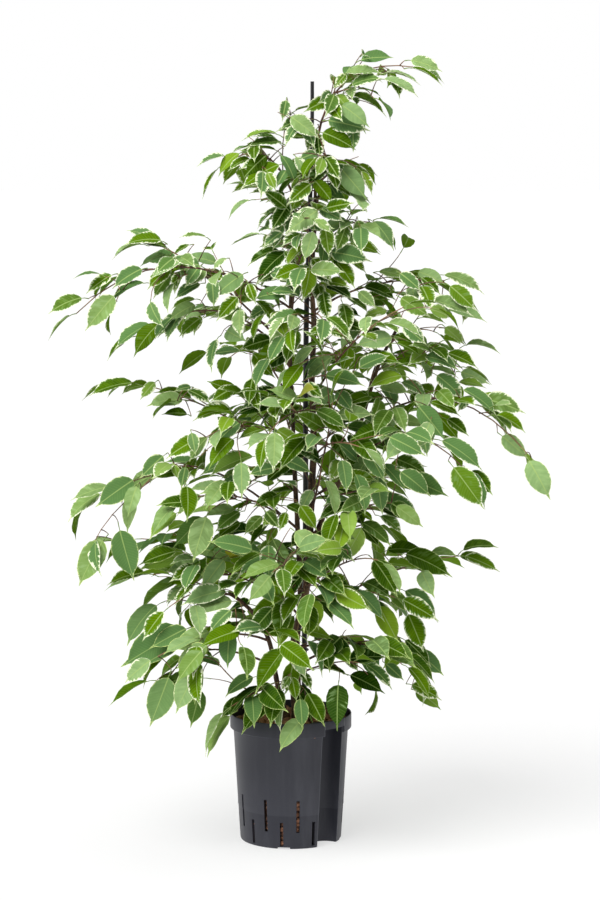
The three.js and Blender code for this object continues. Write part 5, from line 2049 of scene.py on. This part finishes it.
    def dress(self, shop: Workshop) -> None:
        """Makes the pot as one moulded piece.

        Args:
            shop: takes the piece in.
        """
        room = self.cut(self.inside(), self.recess(self.wall, self.recess_top + self.wall))
        solid = self.cut(self.outside(), self.recess(0, self.recess_top), room, *self.openings())
        bm = self.shape_of(solid)
        bmesh.ops.remove_doubles(bm, verts=bm.verts, dist=1e-6)
        for face in bm.faces:
            face.smooth = True
        for edge in bm.edges:
            edge.smooth = len(edge.link_faces) == 2 and edge.calc_face_angle(0) < math.radians(32)
        shop.deliver("culture_pot", bm, [shop.pot], Slot.POT, "pot")


@dataclass
class GranuleBed:
    """The clay granules: a dark filling, loose granules on its top, and those behind the slots."""

    pot: CulturePot
    level: float = 170
    heap: int = 250
    mouth: float = 185
    radii: tuple[float, float] = (4.2, 6.9)
    slot_radii: tuple[float, float] = (3.8, 5.6)
    stake_foot: tuple[float, float] = (20.5, 12)
    stake_radius: float = 4
    recess_clearance: float = 26

    def granule_stamp(self, key: int) -> Stamp:
        """One lumpy granule of radius 1.

        Args:
            key: tells it from the others.

        Returns:
            The granule.
        """
        bm = bmesh.new()
        bmesh.ops.create_icosphere(bm, subdivisions=2, radius=1)
        for i, point in enumerate(bm.verts):
            lump = 0.10 * math.sin(3.1 * point.co.x + key) + 0.09 * math.sin(3.7 * point.co.y + 2.3 * key)
            point.co *= 1 + lump + between(-0.05, 0.05, 740, key, i)
        return Stamp(f"granule_{key}", bm)

    def blocked(self, x: float, y: float, size: float) -> bool:
        """True where a stem, the stake or the gauge recess stands in the way.

        Args:
            x: the granule's place to the right.
            y: its place to the back.
            size: its radius.

        Returns:
            Whether it can't lie there.
        """
        stems = [STEMS[name] for name in ("main", "rear", "left")]
        stands = [(stem.point_at(self.mouth), stem.radius_at(self.mouth)) for stem in stems]
        stands.append((Vector((*self.stake_foot, self.mouth)), self.stake_radius))
        if any(math.hypot(x - at.x, y - at.y) < radius + 0.62 * size for at, radius in stands):
            return True
        turn = math.radians(self.pot.recess_at - 90)
        out, aside = x * math.cos(turn) + y * math.sin(turn), -x * math.sin(turn) + y * math.cos(turn)
        half = self.pot.recess_width / 2 + self.pot.wall
        middle = self.pot.recess_inner + self.pot.recess_width / 2
        in_box = out > middle and abs(aside) < half + 0.4 * size
        return in_box or math.hypot(out - middle, aside) < half + 0.4 * size

    def spots(self) -> list[tuple[float, float, float, float]]:
        """Place and size of every granule that shows.

        Returns:
            For each granule its place and its radius.
        """
        found = []
        reach = self.pot.rim - self.pot.wall
        golden = math.pi * (3 - math.sqrt(5))
        for layer, (count, height) in enumerate(((self.heap, self.level), (self.heap // 2, self.level + 7))):
            for i in range(count):
                size = between(*self.radii, 750 + layer, i)
                radius = (reach - size - 0.5) * math.sqrt((i + 0.5) / count)
                angle = golden * i + layer
                x = radius * math.cos(angle) + between(-1.6, 1.6, 752 + layer, i)
                y = radius * math.sin(angle) + between(-1.6, 1.6, 754 + layer, i)
                if math.hypot(x, y) < reach - size - 0.3 and not self.blocked(x, y, size):
                    found.append((x, y, height + between(-2.0, 3.0, 756 + layer, i), size))
        for i, (azimuth, low, high) in enumerate(self.pot.slots()):
            if abs(azimuth - self.pot.recess_at) < self.recess_clearance:
                continue
            angle = math.radians(azimuth - 90)
            height, k = low + 3, 0
            while height < high:
                size = between(*self.slot_radii, 760, i, k)
                away = self.pot.wall_radius(height) - self.pot.wall - size - between(0.6, 2.6, 761, i, k)
                aside = between(-1.5, 1.5, 762, i, k)
                found.append((away * math.cos(angle) - aside * math.sin(angle),
                              away * math.sin(angle) + aside * math.cos(angle), height, size))
                height += size * between(1.5, 1.9, 763, i, k)
                k += 1
        return found

    def dress(self, shop: Workshop) -> None:
        """Makes the filling and its granules as one piece.

        Args:
            shop: takes the piece in.
        """
        pot = self.pot
        inner = pot.wall_radius(10) - pot.wall - 7
        outer = pot.shoulder - pot.wall - 7
        solid = pot.turned([(0, 8), (inner, 8), (outer, self.level - 4), (0, self.level - 2)])
        bm = pot.shape_of(pot.cut(solid, pot.recess(pot.wall + 0.5, self.level + 20)))
        own = bm.faces.layers.float.new("granule")
        stamps = [self.granule_stamp(key) for key in range(6)]
        for i, (x, y, z, size) in enumerate(self.spots()):
            turn = Matrix.Rotation(between(0, 6.3, 770, i), 3, "Z")
            turn = turn @ Matrix.Rotation(between(0, 3, 771, i), 3, "X")
            squash = Matrix.Diagonal((1, between(0.78, 1.05, 772, i), between(0.72, 0.95, 773, i)))
            middle = Vector((x, y, z))
            faces, _ = stamps[i % 6].lay(bm, lambda place: middle + turn @ (squash @ place) * size)
            tone = draw(774, i)
            for face in faces:
                face[own] = tone
        shop.deliver("granule_bed", bm, [shop.clay], Slot.CLAY, "clay_granules")


# Studio


@dataclass
class Studio:
    """Plain pale floor, soft light and the camera of the photograph."""

    sky: float = 0.05
    sky_from: tuple[float, float] = (0.04, 0.07)
    floor_tones: tuple[Colour, Colour] = ((0.34, 0.34, 0.34, 1), (0.36, 0.36, 0.36, 1))
    floor_glow: float = 0.62
    suns: tuple[tuple[str, float, float, float, float], ...] = (
        ("key", -36, 52, 44, 3.05), ("side", -78, 14, 50, 0.45), ("fill", 50, 25, 60, 0.25),
        ("top", 120, 74, 60, 1.05))

    def sun(self, name: str, azimuth: float, height: float, softness: float, power: float) -> None:
        """A soft far light.

        Args:
            name: its name.
            azimuth: where it comes from, in degrees from the front, to the right.
            height: how high it stands, in degrees.
            softness: how wide it is, in degrees.
            power: its strength.
        """
        light = bpy.data.lights.new(name, "SUN")
        light.angle, light.energy = math.radians(softness), power
        lamp = stand(name, light)
        turn, rise = math.radians(azimuth), math.radians(height)
        source = Vector((math.sin(turn) * math.cos(rise), -math.cos(turn) * math.cos(rise), math.sin(rise)))
        lamp.rotation_euler = source.to_track_quat("Z", "Y").to_euler()

    def floor(self) -> None:
        """A wide pale floor."""
        bm = bmesh.new()
        bmesh.ops.create_grid(bm, x_segments=1, y_segments=1, size=30)
        mesh = mesh_of("studio_floor", bm)
        g = Graph("pale_floor")
        tone = g.noise(g.place(), 0.6, 2.0)
        mesh.materials.append(g.finish(
            Base_Color=g.blend(tone, *self.floor_tones), Roughness=0.9,
            Emission_Color=(1, 1, 1, 1), Emission_Strength=self.floor_glow))
        ground = stand("studio_floor", mesh)

    def dome(self) -> None:
        """A dim sky over a bright ring at the horizon, so that the floor runs out into white."""
        world = bpy.data.worlds.new("white_studio")
        world.use_nodes = True
        tree = world.node_tree
        way = tree.nodes.new("ShaderNodeTexCoord")
        parts = tree.nodes.new("ShaderNodeSeparateXYZ")
        fade = tree.nodes.new("ShaderNodeMapRange")
        fade.interpolation_type = "SMOOTHSTEP"
        low, high = self.sky_from
        limits = {"From Min": low, "From Max": high, "To Min": 1.0, "To Max": self.sky}
        for name, value in limits.items():
            fade.inputs[name].default_value = value
        tree.links.new(way.outputs["Generated"], parts.inputs[0])
        tree.links.new(parts.outputs["Z"], fade.inputs["Value"])
        tree.links.new(fade.outputs["Result"], tree.nodes["Background"].inputs["Strength"])
        tree.nodes["Background"].inputs["Color"].default_value = (1, 1, 1, 1)
        bpy.context.scene.world = world

    def camera(self) -> None:
        """The camera at the photograph's viewing angle."""
        data = bpy.data.cameras.new("camera")
        data.lens, data.sensor_width, data.sensor_fit = VIEW.lens, VIEW.sensor, "AUTO"
        camera = stand("camera", data)
        camera.location = (VIEW.aside * MM, -VIEW.distance * MM, VIEW.eye_height * MM)
        camera.rotation_euler = (math.radians(90 - VIEW.pitch), 0, 0)
        bpy.context.scene.camera = camera

    def set_up(self) -> None:
        """Builds floor, light and camera."""
        self.floor()
        self.dome()
        for sun in self.suns:
            self.sun(*sun)
        self.camera()
        bpy.context.scene.view_settings.view_transform = "Standard"


def main() -> None:
    """Builds the studio, the pot with its filling, the woodwork and the foliage, and logs how many pieces
    there are.
    """
    logging.basicConfig(level=logging.INFO, format="%(name)s: %(message)s")
    Studio().set_up()
    pot = CulturePot()
    shop = Workshop(pot)
    pot.dress(shop)
    GranuleBed(pot).dress(shop)
    Woodwork().dress(shop)
    Foliage().dress(shop)
    LOG.info("%d pieces", len(shop.pieces))


if __name__ == "__main__":
    main()
